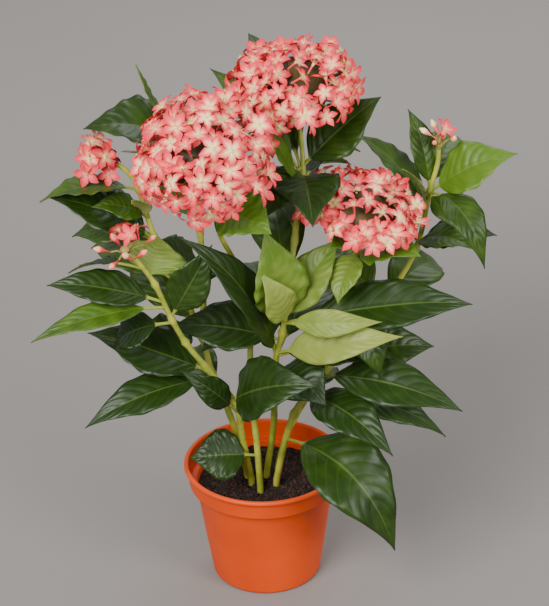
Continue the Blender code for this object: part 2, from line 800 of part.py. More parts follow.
def build_all():
    """Build every node of the plant."""
    clear_scene()
    orange = new_material("pot_plastic", (0.58, 0.115, 0.022), 0.42)
    earth = new_material("soil_earth", (0.022, 0.012, 0.010), 0.95)
    green = {}
    for name in STEMS:
        green[name] = new_material("green_" + name, (0.055, 0.13, 0.022), 0.4)
    pink = {}
    for name in HEADS:
        pink[name] = new_material("pink_" + name, (0.80, 0.24, 0.26), 0.55)

    pot = build_pot()
    pot.data.materials.append(orange)
    soil = build_soil()
    soil.data.materials.append(earth)

    obstacles = Obstacles()
    obstacles.add("pot", revolve(pot_profile(), POT_SIDES))
    soil_cylinder = ((0.0, 5.0), (49.0, 5.0), (49.0, SOIL_TOP_Z + 2.0), (0.0, SOIL_TOP_Z + 2.0))
    obstacles.add("soil", revolve(soil_cylinder, SOIL_SIDES))
    for name, path in STEMS.items():
        obstacles.add(name, stem_tube(path))
    obstacles.add(SHOOT_PARENT, stem_tube(SHOOT, foot=False))
    for name in HEADS:
        for shape in head_shapes(name):
            obstacles.add("head_" + name, shape)
    leaves = settle_leaves(obstacles)

    for name, path in STEMS.items():
        shapes = [stem_tube(path)]
        if name == SHOOT_PARENT:
            shapes.append(stem_tube(SHOOT, foot=False))
        stem = unite("stem_" + name, shapes + leaves[name])
        stem.data.materials.append(green[name])
    for name in HEADS:
        head = build_head(name)
        head.data.materials.append(pink[name])
    for obj in bpy.data.objects:
        obj.data.shade_smooth()
        obj.data.set_sharp_from_angle(angle=math.radians(35.0))


build_all()
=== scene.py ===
import math

import bmesh
import bpy
import numpy as np
from mathutils import Matrix, Vector
from mathutils.bvhtree import BVHTree


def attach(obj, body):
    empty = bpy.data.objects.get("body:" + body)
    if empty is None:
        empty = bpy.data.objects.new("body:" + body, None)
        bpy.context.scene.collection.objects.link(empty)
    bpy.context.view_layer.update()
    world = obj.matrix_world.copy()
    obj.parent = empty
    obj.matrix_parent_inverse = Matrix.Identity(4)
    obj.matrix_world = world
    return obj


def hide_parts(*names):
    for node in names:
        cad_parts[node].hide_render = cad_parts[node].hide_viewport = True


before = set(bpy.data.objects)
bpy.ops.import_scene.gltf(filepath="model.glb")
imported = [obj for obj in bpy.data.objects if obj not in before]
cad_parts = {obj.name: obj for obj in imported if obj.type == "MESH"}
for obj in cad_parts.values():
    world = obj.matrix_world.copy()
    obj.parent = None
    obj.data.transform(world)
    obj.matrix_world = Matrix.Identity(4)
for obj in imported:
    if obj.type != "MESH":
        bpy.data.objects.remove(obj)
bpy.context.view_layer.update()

MM = 0.001

# Pot and soil, in millimetres
RIM_RADIUS = 60.0
POT_HEIGHT = 94.5
COLLAR_BOTTOM_Z = 78.0
COLLAR_BOTTOM_RADIUS = 56.4
BODY_TOP_RADIUS = 51.8
BASE_RADIUS = 41.0
WALL = 1.5
FLOOR = 2.0
POT_SIDES = 32
SOIL_TOP_Z = 75.0
SOIL_SIDES = 18
GAP = 0.3
STEM_DEPTH = 14.0

# Stems
STEM_SIDES = 5
STEM_FOOT_RADIUS = 2.9
STEM_END_RADIUS = 1.8
KNOT_SWELL = 1.28

# Coarse leaves, which settle clear of each other
LEAF_THICKNESS = 0.9
STALK_HALF_WIDTH = 1.1
STALK_THICKNESS = 1.8
LEAF_STATIONS = ((0.0, 0.0), (0.17, 0.64), (0.38, 1.0), (0.62, 0.84), (0.84, 0.38))
NARROW_STATIONS = ((0.0, 0.0), (0.30, 0.94), (0.68, 0.74))
NARROW_WIDTH = 25.0
LEAF_FOLD = 0.16
LEAF_WAVE = 0.10
FACING = Vector((0.0, -0.45, 0.89))
TEST_MARGIN = 0.5

# Fine leaves
STALK_ROWS = 6
BLADE_ROWS = 38
HALF_COLUMNS = 6
VEIN_PAIRS = 9.0
VEIN_SWEEP = 0.26
QUILT_HEIGHT = 0.024
FINE_THICKNESS = 0.7
RIPPLE = 0.055

# Florets
PETALS = 5
PETAL_OUTLINE = ((-36.0, 0.44), (0.0, 1.0))
FLORET_CROWN = 0.9
FLORET_NECK = 2.6
NECK_RADIUS = 1.3
SMALL_HEAD = 25.0
SMALL_CORE = (0.45, 0.10)
FULL_CORE = (0.74, 0.60)
GOLDEN_ANGLE = math.pi * (3.0 - math.sqrt(5.0))
FINE_FLORET_RADIUS = 9.6
FINE_PER_COARSE = 2.1
# How far the petals of the three kinds of floret rise or bend back.
CUPS = (-0.16, 0.09, 0.33)
SHAPE_INPUTS = ("Shape A", "Shape B", "Shape C")

SEED = 47
GROUND_REACH = 14.0

# Camera: its place in metres, how far it looks down, and its lean
CAMERA_PLACE = (0.0109, -1.2692, 0.8933)
CAMERA_DOWN = 27.74
CAMERA_LEAN = -1.5
CAMERA_LENS = 118.8
CAMERA_SENSOR = 36.0

# Each stem: its node, then the points it passes through, from the soil upwards.
STEMS = {
    "front_left": ((-9, -3, 75), (-15, -13, 120), (-20, -24, 158), (-39, -38, 196), (-52, -46, 221),
                   (-60, -52, 242), (-70, -60, 274), (-79, -65, 292), (-86, -68, 302)),
    "back_left": ((-12, 6, 75), (-23, 8, 124), (-36, 4, 166), (-42, 2, 198), (-55, 2, 237),
                  (-72, 4, 277), (-82, 6, 315), (-92, 6, 332), (-105, 5, 337)),
    "middle": ((-3, -14, 75), (-5, -14, 120), (-8, -10, 160), (-7, -8, 213), (-8, -8, 236),
               (-16, -18, 268), (-26, -38, 303), (-30, -59, 348)),
    "top": ((1, 4, 75), (8, -8, 130), (10, -24, 188), (16, -32, 219), (20, -34, 248),
            (26, -16, 283), (33, 14, 321), (32, 21, 348), (30, 25, 368)),
    "right": ((8, -6, 75), (16, -14, 118), (23, -20, 145), (41, -24, 182), (53, -22, 215),
              (62, -18, 240), (70, -13, 266), (74, -10, 298)),
    "back_right": ((9, 13, 75), (21, 21, 111), (51, 28, 158), (92, 36, 207), (115, 40, 246),
                   (125, 42, 292), (130, 42, 312), (131, 42, 324)),
}
# A side shoot without flowers, grown from the back left stem.
SHOOT_PARENT = "back_left"
SHOOT = ((-42, 2, 198), (-40, 10, 233), (-41, 20, 276), (-46, 28, 323), (-52, 30, 350))

# Each leaf: share of the way up its stem, its tip, its width, how far its middle rises
# (a share of its length), its roll about its own length in degrees, its stalk's share, and
# how light and yellow its green is.
LEAVES = {
    "front_left": (
        (0.50, (-120, -34, 226), 46, 0.02, 0, 0.10, 0.1),
        (0.47, (-124, -70, 170), 30, 0.10, 0, 0.14, 0.12),
        (0.80, (-143, -58, 277), 30, 0.05, 0, 0.14, 0.14),
        (0.78, (-154, -85, 247), 22, 0.09, 0, 0.16, 0.36),
        (0.72, (-104, -36, 214), 32, 0.14, 0, 0.22, 0.12),
        (0.93, (-131, -40, 276), 22, 0.08, 0, 0.30, 0.15),
        (0.90, (-66, -44, 302), 46, 0.04, 20, 0.06, 0.66),
        (0.35, (35, -75, 202), 48, 0.12, 25, 0.10, 0.15),
        (0.30, (-54, -55, 202), 22, 0.10, 0, 0.25, 0.1),
        (0.74, (-31, -66, 304), 30, 0.08, 0, 0.14, 0.2),
    ),
    "back_left": (
        (0.88, (-149, -20, 321), 32, 0.10, 0, 0.14, 0.35),
        (0.80, (-113, -12, 312), 25, 0.14, 0, 0.16, 0.3),
        (0.74, (-142, -20, 325), 44, 0.08, 0, 0.12, 0.15),
        (0.74, (-133, 22, 273), 28, 0.16, 0, 0.20, 0.25),
        (0.80, (-84, -24, 322), 15, 0.05, 60, 0.20, 0.9),
        (0.45, (-98, 78, 232), 42, 0.16, 0, 0.14, 0.3),
        (0.60, (-124, 55, 250), 38, 0.18, 0, 0.14, 0.3),
        (0.24, (-66, 66, 140), 38, 0.26, 0, 0.16, 0.3),
        (0.45, (-88, -20, 200), 36, 0.20, 0, 0.18, 0.25),
    ),
    "shoot": (
        (0.94, (-116, 8, 364), 50, 0.10, 0, 0.12, 0.22),
        (0.98, (-77, 15, 406), 15, -0.10, 30, 0.12, 0.4),
        (0.75, (-90, -20, 358), 15, 0.04, 50, 0.20, 0.7),
        (0.28, (-72, -14, 284), 36, 0.06, 0, 0.16, 0.15),
        (0.50, (-78, 98, 292), 38, 0.16, 0, 0.14, 0.3),
        (0.92, (-62, 104, 318), 34, 0.16, 0, 0.14, 0.3),
        (0.72, (-5, 60, 345), 34, 0.10, 0, 0.16, 0.3),
    ),
    "middle": (
        (0.70, (-34, -58, 276), 26, 0.10, 0, 0.18, 0.32),
        (0.90, (10, -76, 318), 42, 0.10, 0, 0.12, 0.45),
        (0.48, (-42, -30, 205), 30, 0.14, 0, 0.18, 0.1),
        (0.11, (-54, -26, 113), 40, 0.10, 0, 0.20, 0.15),
    ),
    "top": (
        (0.86, (4, -34, 310), 36, 0.12, -20, 0.14, 0.3),
        (0.50, (6, -48, 306), 42, 0.06, 0, 0.08, 0.6),
        (0.39, (-44, -44, 300), 44, 0.08, 0, 0.10, 0.12),
        (0.84, (-3, 84, 411), 42, 0.12, 0, 0.12, 0.2),
        (0.84, (-30, 62, 384), 28, 0.10, 0, 0.14, 0.3),
        (0.80, (-3, -6, 383), 17, 0.05, 50, 0.14, 0.4),
        (0.84, (38, -42, 308), 50, 0.12, 0, 0.12, 0.15),
        (0.82, (74, 46, 326), 30, 0.14, 0, 0.16, 0.1),
        (0.86, (88, 24, 374), 44, 0.04, 20, 0.10, 0.2),
        (0.50, (3, -60, 280), 26, 0.14, 0, 0.14, 0.75),
        (0.51, (57, -42, 298), 38, 0.06, 0, 0.08, 0.62),
        (0.41, (97, -60, 229), 30, 0.10, 30, 0.12, 0.9),
        (0.50, (84, -56, 238), 20, 0.12, 40, 0.12, 0.72),
        (0.40, (88, -40, 200), 30, 0.14, 0, 0.12, 0.15),
        (0.35, (45, -64, 178), 48, 0.22, 0, 0.12, 0.1),
        (0.45, (-64, -22, 222), 40, 0.08, 0, 0.10, 0.12),
        (0.50, (150, -29, 239), 40, 0.05, 5, 0.16, 0.15),
        (0.40, (-8, 92, 216), 44, 0.16, 0, 0.12, 0.25),
        (0.40, (52, 84, 196), 42, 0.18, 0, 0.12, 0.25),
        (0.56, (8, 98, 282), 42, 0.14, 0, 0.12, 0.3),
        (0.68, (66, 92, 300), 40, 0.16, 0, 0.12, 0.3),
    ),
    "right": (
        (0.90, (54, -48, 250), 28, 0.10, 0, 0.16, 0.62),
        (0.86, (112, -40, 282), 44, 0.16, 0, 0.12, 0.5),
        (0.90, (50, -42, 290), 24, 0.10, 0, 0.16, 0.5),
        (0.72, (84, -62, 198), 32, 0.24, 0, 0.20, 0.25),
        (0.47, (141, -62, 170), 38, 0.10, 0, 0.12, 0.15),
        (0.54, (84, -14, 181), 18, 0.12, 0, 0.25, 0.3),
        (0.38, (132, -40, 136), 28, 0.18, 0, 0.20, 0.2),
        (0.39, (90, -88, 152), 38, 0.14, 0, 0.10, 0.12),
        (0.20, (94, -72, 60), 56, 0.34, 0, 0.12, 0.2),
    ),
    "back_right": (
        (0.82, (73, 46, 338), 34, 0.10, 0, 0.12, 0.3),
        (0.88, (111, 52, 352), 24, 0.08, 0, 0.14, 0.25),
        (0.88, (183, 25, 328), 40, 0.10, 10, 0.14, 0.5),
        (0.88, (161, -8, 254), 28, 0.34, 0, 0.14, 0.26),
        (0.74, (172, 30, 263), 28, 0.08, 0, 0.10, 0.2),
        (0.74, (154, -2, 266), 32, 0.14, 0, 0.12, 0.3),
        (0.84, (105, 18, 322), 15, 0.05, 60, 0.16, 0.5),
        (0.88, (141, 0, 281), 13, 0.14, 30, 0.20, 0.3),
        (0.36, (84, 104, 176), 42, 0.18, 0, 0.12, 0.3),
        (0.54, (46, 98, 222), 38, 0.16, 0, 0.14, 0.3),
        (0.54, (140, 100, 204), 40, 0.18, 0, 0.14, 0.3),
        (0.74, (88, 122, 262), 38, 0.14, 0, 0.14, 0.3),
        (0.88, (150, 112, 306), 34, 0.14, 0, 0.14, 0.35),
        (0.20, (48, 78, 124), 36, 0.24, 0, 0.16, 0.2),
        (0.36, (128, 20, 176), 38, 0.18, 0, 0.14, 0.25),
    ),
}


# Each head: its centre, the two half sizes of its dome (across and along its axis), its axis,
# how far down the dome the florets reach in degrees, florets, buds, and a floret's radius.
HEADS = {
    "front": ((-32, -61, 367), 44, 40, (-0.08, -0.48, 0.87), 112, 52, 0, 11.8),
    "top": ((29, 26, 381), 43, 29, (0.0, -0.24, 0.97), 99, 40, 0, 11.8),
    "right": ((73, -10, 302), 43, 18, (0.20, -0.14, 0.97), 94, 29, 0, 11.6),
    "small_left": ((-109, 5, 340), 15, 18, (-0.35, -0.30, 0.88), 122, 12, 0, 9.0),
    "bud_left": ((-88, -68, 305), 19, 12, (-0.15, -0.30, 0.94), 92, 3, 6, 9.0),
    "bud_right": ((131, 42, 328), 14, 14, (0.10, -0.10, 0.98), 64, 1, 7, 8.5),
}

def revolve(profile, sides):
    """Turn a closed profile of (radius, height), both ends on the axis, about Z."""
    points = []
    rows = []
    for radius, height in profile:
        if radius == 0.0:
            rows.append([len(points)] * sides)
            points.append((0.0, 0.0, height))
            continue
        start = len(points)
        for side in range(sides):
            angle = 2.0 * math.pi * side / sides
            points.append((radius * math.cos(angle), radius * math.sin(angle), height))
        rows.append(list(range(start, start + sides)))
    faces = []
    for low, high in zip(rows, rows[1:]):
        for side in range(sides):
            after = (side + 1) % sides
            corners = (low[side], low[after], high[after], high[side])
            unique = list(dict.fromkeys(corners))
            if len(unique) > 2:
                faces.append(tuple(unique))
    return points, faces


def rounded_path(points, steps=2):
    """Points of a smooth curve through the given ones."""
    places = [Vector(p) for p in points]
    ends = [2.0 * places[0] - places[1]] + places + [2.0 * places[-1] - places[-2]]
    path = []
    for number in range(len(places) - 1):
        before, here, there, after = ends[number:number + 4]
        for step in range(steps):
            t = step / steps
            square = t * t
            cube = square * t
            place = 0.5 * (
                2.0 * here
                + (there - before) * t
                + (2.0 * before - 5.0 * here + 4.0 * there - after) * square
                + (3.0 * here - before - 3.0 * there + after) * cube
            )
            path.append(place)
    path.append(places[-1])
    return path


def point_on_stem(path, share):
    """The place a share of the way along a stem."""
    places = rounded_path(path)
    lengths = [(b - a).length for a, b in zip(places, places[1:])]
    goal = share * sum(lengths)
    for start, end, length in zip(places, places[1:], lengths):
        if goal <= length:
            return start.lerp(end, goal / length)
        goal -= length
    return places[-1].copy()


def tube(places, radii, sides):
    """A closed tube with rings that stay square to its path."""
    points = []
    across = Vector((1.0, 0.0, 0.0))
    for number, place in enumerate(places):
        before = places[max(number - 1, 0)]
        after = places[min(number + 1, len(places) - 1)]
        along = (after - before).normalized()
        across = (across - along * across.dot(along)).normalized()
        upright = along.cross(across)
        for side in range(sides):
            angle = 2.0 * math.pi * side / sides
            ray = across * math.cos(angle) + upright * math.sin(angle)
            points.append(tuple(place + ray * radii[number]))
    faces = [tuple(range(sides))]
    for ring in range(len(places) - 1):
        for side in range(sides):
            after = (side + 1) % sides
            low = ring * sides
            high = low + sides
            faces.append((low + side, low + after, high + after, high + side))
    last = (len(places) - 1) * sides
    faces.append(tuple(range(last, last + sides)))
    return points, faces


def stem_tube(path, margin=0.0, foot=True):
    """A stem with swollen knots, or the hole it stands in when there is a margin."""
    places = rounded_path(path)
    if foot:
        places[0] = places[0] - Vector((0.0, 0.0, STEM_DEPTH + margin))
    count = len(places) - 1
    radii = []
    for number in range(len(places)):
        radius = STEM_FOOT_RADIUS + (STEM_END_RADIUS - STEM_FOOT_RADIUS) * number / count
        is_knot = number % 2 == 0 and 2 < number < count - 2
        radii.append(radius * (KNOT_SWELL if is_knot else 1.0) + margin)
    if margin:
        places[-1] = places[-1] + (places[-1] - places[-2]).normalized() * margin
    return tube(places, radii, STEM_SIDES)


def leaf_frame(base, tip, roll):
    """The way a leaf's upper face points."""
    along = (tip - base).normalized()
    up = FACING - along * FACING.dot(along)
    if up.length < 0.2:
        up = Vector((0.0, -1.0, 0.0)) - along * -along.y
    up.normalize()
    return Matrix.Rotation(math.radians(roll), 3, along) @ up


def leaf_shape(base, leaf, phase, margin=0.0):
    """A stalked, pointed blade, folded along its midrib and waved at its edges."""
    tip, width, arch, roll, stalk = leaf
    length = (tip - base).length
    up = leaf_frame(base, tip, roll)
    bend = base.lerp(tip, 0.5) + up * (2.0 * arch * length)
    rings = [(0.0, STALK_HALF_WIDTH, STALK_THICKNESS, 0.0)]
    stations = NARROW_STATIONS if width < NARROW_WIDTH else LEAF_STATIONS
    for number, (share, wide) in enumerate(stations):
        half = max(0.5 * width * wide, STALK_HALF_WIDTH * 1.2)
        thick = LEAF_THICKNESS if number else STALK_THICKNESS * 0.8
        wave = LEAF_WAVE * half * (1.0 if number else 0.0)
        rings.append((stalk + (1.0 - stalk) * share, half + margin, thick + 2.0 * margin, wave))
    points = []
    for number, (t, half, thick, wave) in enumerate(rings):
        place = base * (1 - t) ** 2 + bend * (2 * t * (1 - t)) + tip * t ** 2
        along = ((bend - base) * (1 - t) + (tip - bend) * t).normalized()
        normal = (up - along * up.dot(along)).normalized()
        across = along.cross(normal)
        rise = LEAF_FOLD * half if number > 1 else 0.0
        left = rise + wave * math.sin(phase + 2.4 * number)
        right = rise + wave * math.sin(phase + 1.9 + 2.7 * number)
        top = normal * (0.5 * thick)
        rows = (place + across * half + normal * left, place, place - across * half + normal * right)
        points += [tuple(row + top) for row in rows]
        points += [tuple(row - top) for row in rows]
    end = tip + (tip - bend).normalized() * margin
    points.append(tuple(end))
    return points, leaf_faces(len(rings))


def leaf_faces(count):
    """Triangles of a leaf, split alike on both faces."""
    faces = [(0, 1, 4), (0, 4, 3), (1, 2, 5), (1, 5, 4)]
    for ring in range(count - 1):
        a = 6 * ring
        b = a + 6
        for top in (0, 1):
            faces.append((a + top, b + top, b + top + 1))
            faces.append((a + top, b + top + 1, a + top + 1))
            faces.append((a + top + 3, b + top + 4, b + top + 3))
            faces.append((a + top + 3, a + top + 4, b + top + 4))
        faces += [(a, a + 3, b + 3), (a, b + 3, b), (a + 2, b + 2, b + 5), (a + 2, b + 5, a + 5)]
    a = 6 * (count - 1)
    end = a + 6
    faces += [(a, end, a + 1), (a + 1, end, a + 2), (a + 3, a + 4, end), (a + 4, a + 5, end)]
    faces += [(a, a + 3, end), (a + 2, end, a + 5)]
    return faces


def try_moves():
    """Moves of a leaf's tip and turns of its blade, the smallest first."""
    depth = Vector((0.0, 0.885, -0.465))
    rise = Vector((0.0, 0.465, 0.885))
    side = Vector((1.0, 0.0, 0.0))
    yield Vector((0.0, 0.0, 0.0)), 0.0, 1.0
    for step in range(5, 60, 5):
        for direction in (depth, -depth, rise, -rise, side, -side):
            amount = step if direction in (depth, -depth) else 0.4 * step
            for turn in (0.0, 18.0, -18.0, 40.0, -40.0):
                yield direction * amount, turn, 1.0 - 0.004 * step


def blade_only(shape):
    """A leaf without its stalk and the narrow start of its blade."""
    points = shape[0][12:]
    return points, leaf_faces((len(points) - 1) // 6)


class Obstacles:
    """What a new leaf must stay clear of, kept by node."""

    def __init__(self):
        self.items = []

    def add(self, node, shape, blade=None):
        """Other nodes meet the whole shape, and its own node only the blade."""
        own = blade or shape
        self.items.append((node, self.grown(shape), self.grown(own)))

    def grown(self, shape):
        """The search tree of a shape and the corners of its box."""
        points, faces = shape
        cloud = np.array(points)
        tree = BVHTree.FromPolygons([Vector(p) for p in points], faces)
        return tree, cloud.min(axis=0), cloud.max(axis=0)

    def hit(self, node, shape):
        """True where a leaf crosses another node, or its blade crosses its own node."""
        whole = self.grown(shape)
        blade = self.grown(blade_only(shape))
        for other, other_whole, other_own in self.items:
            mine = blade if other == node else whole
            theirs = other_own if other == node else other_whole
            if (mine[1] > theirs[2]).any() or (mine[2] < theirs[1]).any():
                continue
            if mine[0].overlap(theirs[0]):
                return True
        return False


def settle_leaves(obstacles):
    """Bend each leaf clear of what it would cross, and give every leaf by node."""
    draw = np.random.default_rng(SEED)
    settled = {}
    for stem, rows in LEAVES.items():
        node = SHOOT_PARENT if stem == "shoot" else stem
        path = SHOOT if stem == "shoot" else STEMS[stem]
        for share, tip, width, arch, roll, stalk, tone in rows:
            base = point_on_stem(path, share)
            phase = draw.uniform(0.0, 2.0 * math.pi)
            for move, turn, size in try_moves():
                leaf = (Vector(tip) + move, width * size, arch, roll + turn, stalk)
                if not obstacles.hit(node, leaf_shape(base, leaf, phase, TEST_MARGIN)):
                    shape = leaf_shape(base, leaf, phase)
                    settled.setdefault(node, []).append((base, leaf, phase, tone))
                    obstacles.add(node, shape, blade_only(shape))
                    break
    return settled


def turned(axis):
    """Two directions square to an axis."""
    helper = Vector((1.0, 0.0, 0.0)) if abs(axis.x) < 0.8 else Vector((0.0, 1.0, 0.0))
    first = (helper - axis * helper.dot(axis)).normalized()
    return first, axis.cross(first)


def dome_places(head):
    """Where florets and buds stand on a head's dome, and the way each one faces."""
    centre, across, along, axis, reach, florets, buds, size = head
    middle = Vector(centre)
    pole = Vector(axis).normalized()
    first, second = turned(pole)
    total = florets + buds
    lowest = math.cos(math.radians(reach))
    places = []
    for number in range(total):
        height = 1.0 - (1.0 - lowest) * (number + 0.5) / total
        ring = math.sqrt(1.0 - height * height)
        angle = number * GOLDEN_ANGLE
        flat = first * (ring * math.cos(angle)) + second * (ring * math.sin(angle))
        place = middle + flat * across + pole * (height * along)
        facing = (flat / across + pole * (height / along)).normalized()
        facing = (facing + 0.25 * pole).normalized()
        places.append((place, facing))
    return places


def floret_shape(place, facing, root, size, spin, lift):
    """Five pointed petals on a thin tube that runs down into the head."""
    first, second = turned(facing)
    rim = []
    for petal in range(PETALS):
        for degrees, reach in PETAL_OUTLINE:
            angle = math.radians(degrees + 72.0 * petal) + spin
            ray = first * math.cos(angle) + second * math.sin(angle)
            rim.append(place + ray * (size * reach) + facing * (lift * reach * reach))
    points = [tuple(p) for p in rim]
    crown = len(points)
    points.append(tuple(place + facing * FLORET_CROWN))
    neck = len(points)
    for petal in range(PETALS):
        angle = math.radians(72.0 * petal - 36.0) + spin
        ray = first * math.cos(angle) + second * math.sin(angle)
        points.append(tuple(place + ray * NECK_RADIUS - facing * FLORET_NECK))
    points.append(tuple(root))
    foot = len(points) - 1
    faces = []
    count = len(rim)
    for number in range(count):
        after = (number + 1) % count
        petal = number // len(PETAL_OUTLINE)
        next_petal = (petal + 1) % PETALS
        faces.append((crown, number, after))
        at_notch = number % len(PETAL_OUTLINE) == 0
        under = neck + (petal if at_notch else next_petal)
        faces.append((under, after, number))
        if at_notch:
            faces.append((neck + petal, neck + next_petal, number + 1))
    for petal in range(PETALS):
        faces.append((neck + (petal + 1) % PETALS, neck + petal, foot))
    return points, faces


def bud_shape(place, facing, root, spin):
    """A closed bud, thickest near its end."""
    first, second = turned(facing)
    points = [tuple(root)]
    for radius, height in ((0.9, -5.0), (1.9, 0.0)):
        for side in range(PETALS):
            angle = 2.0 * math.pi * side / PETALS + spin
            ray = first * math.cos(angle) + second * math.sin(angle)
            points.append(tuple(place + ray * radius + facing * height))
    points.append(tuple(place + facing * 2.8))
    last = len(points) - 1
    faces = []
    for side in range(PETALS):
        after = (side + 1) % PETALS
        low = 1 + side
        low_after = 1 + after
        faces.append((0, low_after, low))
        faces.append((low, low_after, low_after + PETALS, low + PETALS))
        faces.append((low + PETALS, low_after + PETALS, last))
    return points, faces


def core_and_foot(across):
    """The size of a head's core and the depth of its tubes' feet, as shares of its dome."""
    return SMALL_CORE if across < SMALL_HEAD else FULL_CORE


def core_shape(head):
    """The smaller core that the tubes of a head grow from."""
    centre, across, along, axis, reach, florets, buds, size = head
    core, foot = core_and_foot(across)
    middle = Vector(centre)
    pole = Vector(axis).normalized()
    first, second = turned(pole)
    work = bmesh.new()
    bmesh.ops.create_icosphere(work, subdivisions=2, radius=1.0)
    points = []
    for vert in work.verts:
        flat = first * vert.co.x + second * vert.co.y
        place = middle + flat * (across * core) + pole * (vert.co.z * along * core)
        points.append(tuple(place))
    faces = [tuple(v.index for v in face.verts) for face in work.faces]
    work.free()
    return points, faces


def head_shapes(name):
    """The core of a head and every floret and bud on it."""
    head = HEADS[name]
    centre, across, along, axis, reach, florets, buds, size = head
    middle = Vector(centre)
    draw = np.random.default_rng(SEED + len(name))
    core, foot = core_and_foot(across)
    shapes = [core_shape(head)]
    places = dome_places(head)
    open_until = florets
    for number, (place, facing) in enumerate(places):
        lean = Vector(draw.uniform(-0.22, 0.22, 3))
        facing = (facing + lean).normalized()
        place = place + facing * draw.uniform(-2.2, 2.2)
        spin = draw.uniform(0.0, 1.25)
        root = middle.lerp(place, foot)
        is_open = number < open_until
        if buds:
            is_open = number % (1 + round(buds / florets)) == 0 and open_until > 0
            open_until -= 1 if is_open else 0
        if is_open:
            lift = draw.uniform(-1.2, 1.4)
            shapes.append(floret_shape(place, facing, root, size, spin, lift))
        else:
            shapes.append(bud_shape(place, facing, root, spin))
    return shapes


def settle_everything():
    """Settle the leaves among the pot, the soil, the stems and the heads."""
    obstacles = Obstacles()
    obstacles.add("pot", revolve(pot_profile(), POT_SIDES))
    soil_cylinder = ((0.0, 5.0), (49.0, 5.0), (49.0, SOIL_TOP_Z + 2.0), (0.0, SOIL_TOP_Z + 2.0))
    obstacles.add("soil", revolve(soil_cylinder, SOIL_SIDES))
    for name, path in STEMS.items():
        obstacles.add(name, stem_tube(path))
    obstacles.add(SHOOT_PARENT, stem_tube(SHOOT, foot=False))
    for name in HEADS:
        for shape in head_shapes(name):
            obstacles.add("head_" + name, shape)
    return settle_leaves(obstacles)


# Materials
class Value:
    """A shader socket that arithmetic can be written with."""

    def __init__(self, shade, socket):
        self.shade = shade
        self.socket = socket

    def __add__(self, other):
        return self.shade.maths("ADD", self, other)

    def __radd__(self, other):
        return self.shade.maths("ADD", other, self)

    def __sub__(self, other):
        return self.shade.maths("SUBTRACT", self, other)

    def __rsub__(self, other):
        return self.shade.maths("SUBTRACT", other, self)

    def __mul__(self, other):
        return self.shade.maths("MULTIPLY", self, other)

    def __rmul__(self, other):
        return self.shade.maths("MULTIPLY", other, self)

    def __truediv__(self, other):
        return self.shade.maths("DIVIDE", self, other)

    def __pow__(self, other):
        return self.shade.maths("POWER", self, other)


class Shade:
    """The node tree of one material."""

    def __init__(self, name):
        self.material = bpy.data.materials.new(name)
        self.material.use_nodes = True
        self.tree = self.material.node_tree
        self.surface = self.tree.nodes["Principled BSDF"]

    def node(self, kind, settings=None, sockets=None):
        """Any node: its type, its settings, then values or links for its sockets."""
        made = self.tree.nodes.new(kind)
        for key, value in (settings or {}).items():
            setattr(made, key, value)
        for key, value in (sockets or {}).items():
            self.feed(made.inputs[key], value)
        return made

    def feed(self, socket, value):
        if isinstance(value, Value):
            self.tree.links.new(value.socket, socket)
        else:
            socket.default_value = value

    def maths(self, operation, first, second=0.0):
        made = self.node("ShaderNodeMath", {"operation": operation}, {0: first, 1: second})
        return Value(self, made.outputs[0])

    def clamp(self, value, low, high):
        """A value stretched from low..high to 0..1, smoothly."""
        settings = {"interpolation_type": "SMOOTHSTEP"}
        sockets = {"Value": value, "From Min": low, "From Max": high}
        return Value(self, self.node("ShaderNodeMapRange", settings, sockets).outputs["Result"])

    def mix(self, share, first, second):
        """A colour between two colours."""
        made = self.node("ShaderNodeMix", {"data_type": "RGBA"}, {0: share, 6: first, 7: second})
        return Value(self, made.outputs[2])

    def noise(self, scale, detail=3.0, roughness=0.5):
        """Noise over the piece's own coordinates, which are in metres."""
        place = Value(self, self.node("ShaderNodeTexCoord").outputs["Object"])
        sockets = {"Vector": place, "Scale": scale, "Detail": detail, "Roughness": roughness}
        return Value(self, self.node("ShaderNodeTexNoise", None, sockets).outputs[0])

    def along_y(self):
        """The piece's own Y coordinate, in metres."""
        place = Value(self, self.node("ShaderNodeTexCoord").outputs["Object"])
        return Value(self, self.node("ShaderNodeSeparateXYZ", None, {0: place}).outputs[1])

    def attribute(self, name):
        made = self.node("ShaderNodeAttribute", {"attribute_name": name})
        return Value(self, made.outputs["Fac"])

    def map_place(self, name):
        """The two coordinates of a UV map."""
        made = self.node("ShaderNodeUVMap", {"uv_map": name})
        parts = self.node("ShaderNodeSeparateXYZ", None, {0: Value(self, made.outputs[0])})
        return Value(self, parts.outputs[0]), Value(self, parts.outputs[1])

    def bump(self, height, strength, distance):
        sockets = {"Height": height, "Strength": strength, "Distance": distance}
        return Value(self, self.node("ShaderNodeBump", None, sockets).outputs[0])

    def finish(self, **sockets):
        """Set the surface's sockets, written with underscores for spaces."""
        for key, value in sockets.items():
            self.feed(self.surface.inputs[key.replace("_", " ")], value)
        return self.material


def pot_material():
    """Satin orange plastic with faint cloudiness and rubbed places."""
    shade = Shade("orange_plastic")
    cloud = shade.noise(26.0)
    fine = shade.noise(420.0, 4.0)
    rubbed = shade.clamp(shade.noise(70.0, 5.0, 0.65), 0.58, 0.74)
    deep = (0.62, 0.054, 0.0003, 1.0)
    bright = (0.69, 0.066, 0.0005, 1.0)
    colour = shade.mix(shade.clamp(cloud, 0.3, 0.7), deep, bright)
    colour = shade.mix(rubbed * 0.08, colour, (0.76, 0.11, 0.005, 1.0))
    return shade.finish(
        Base_Color=colour,
        Roughness=0.40 + 0.14 * fine + 0.10 * rubbed,
        Normal=shade.bump(fine, 0.12, 0.0004),
        Specular_IOR_Level=0.28,
    )


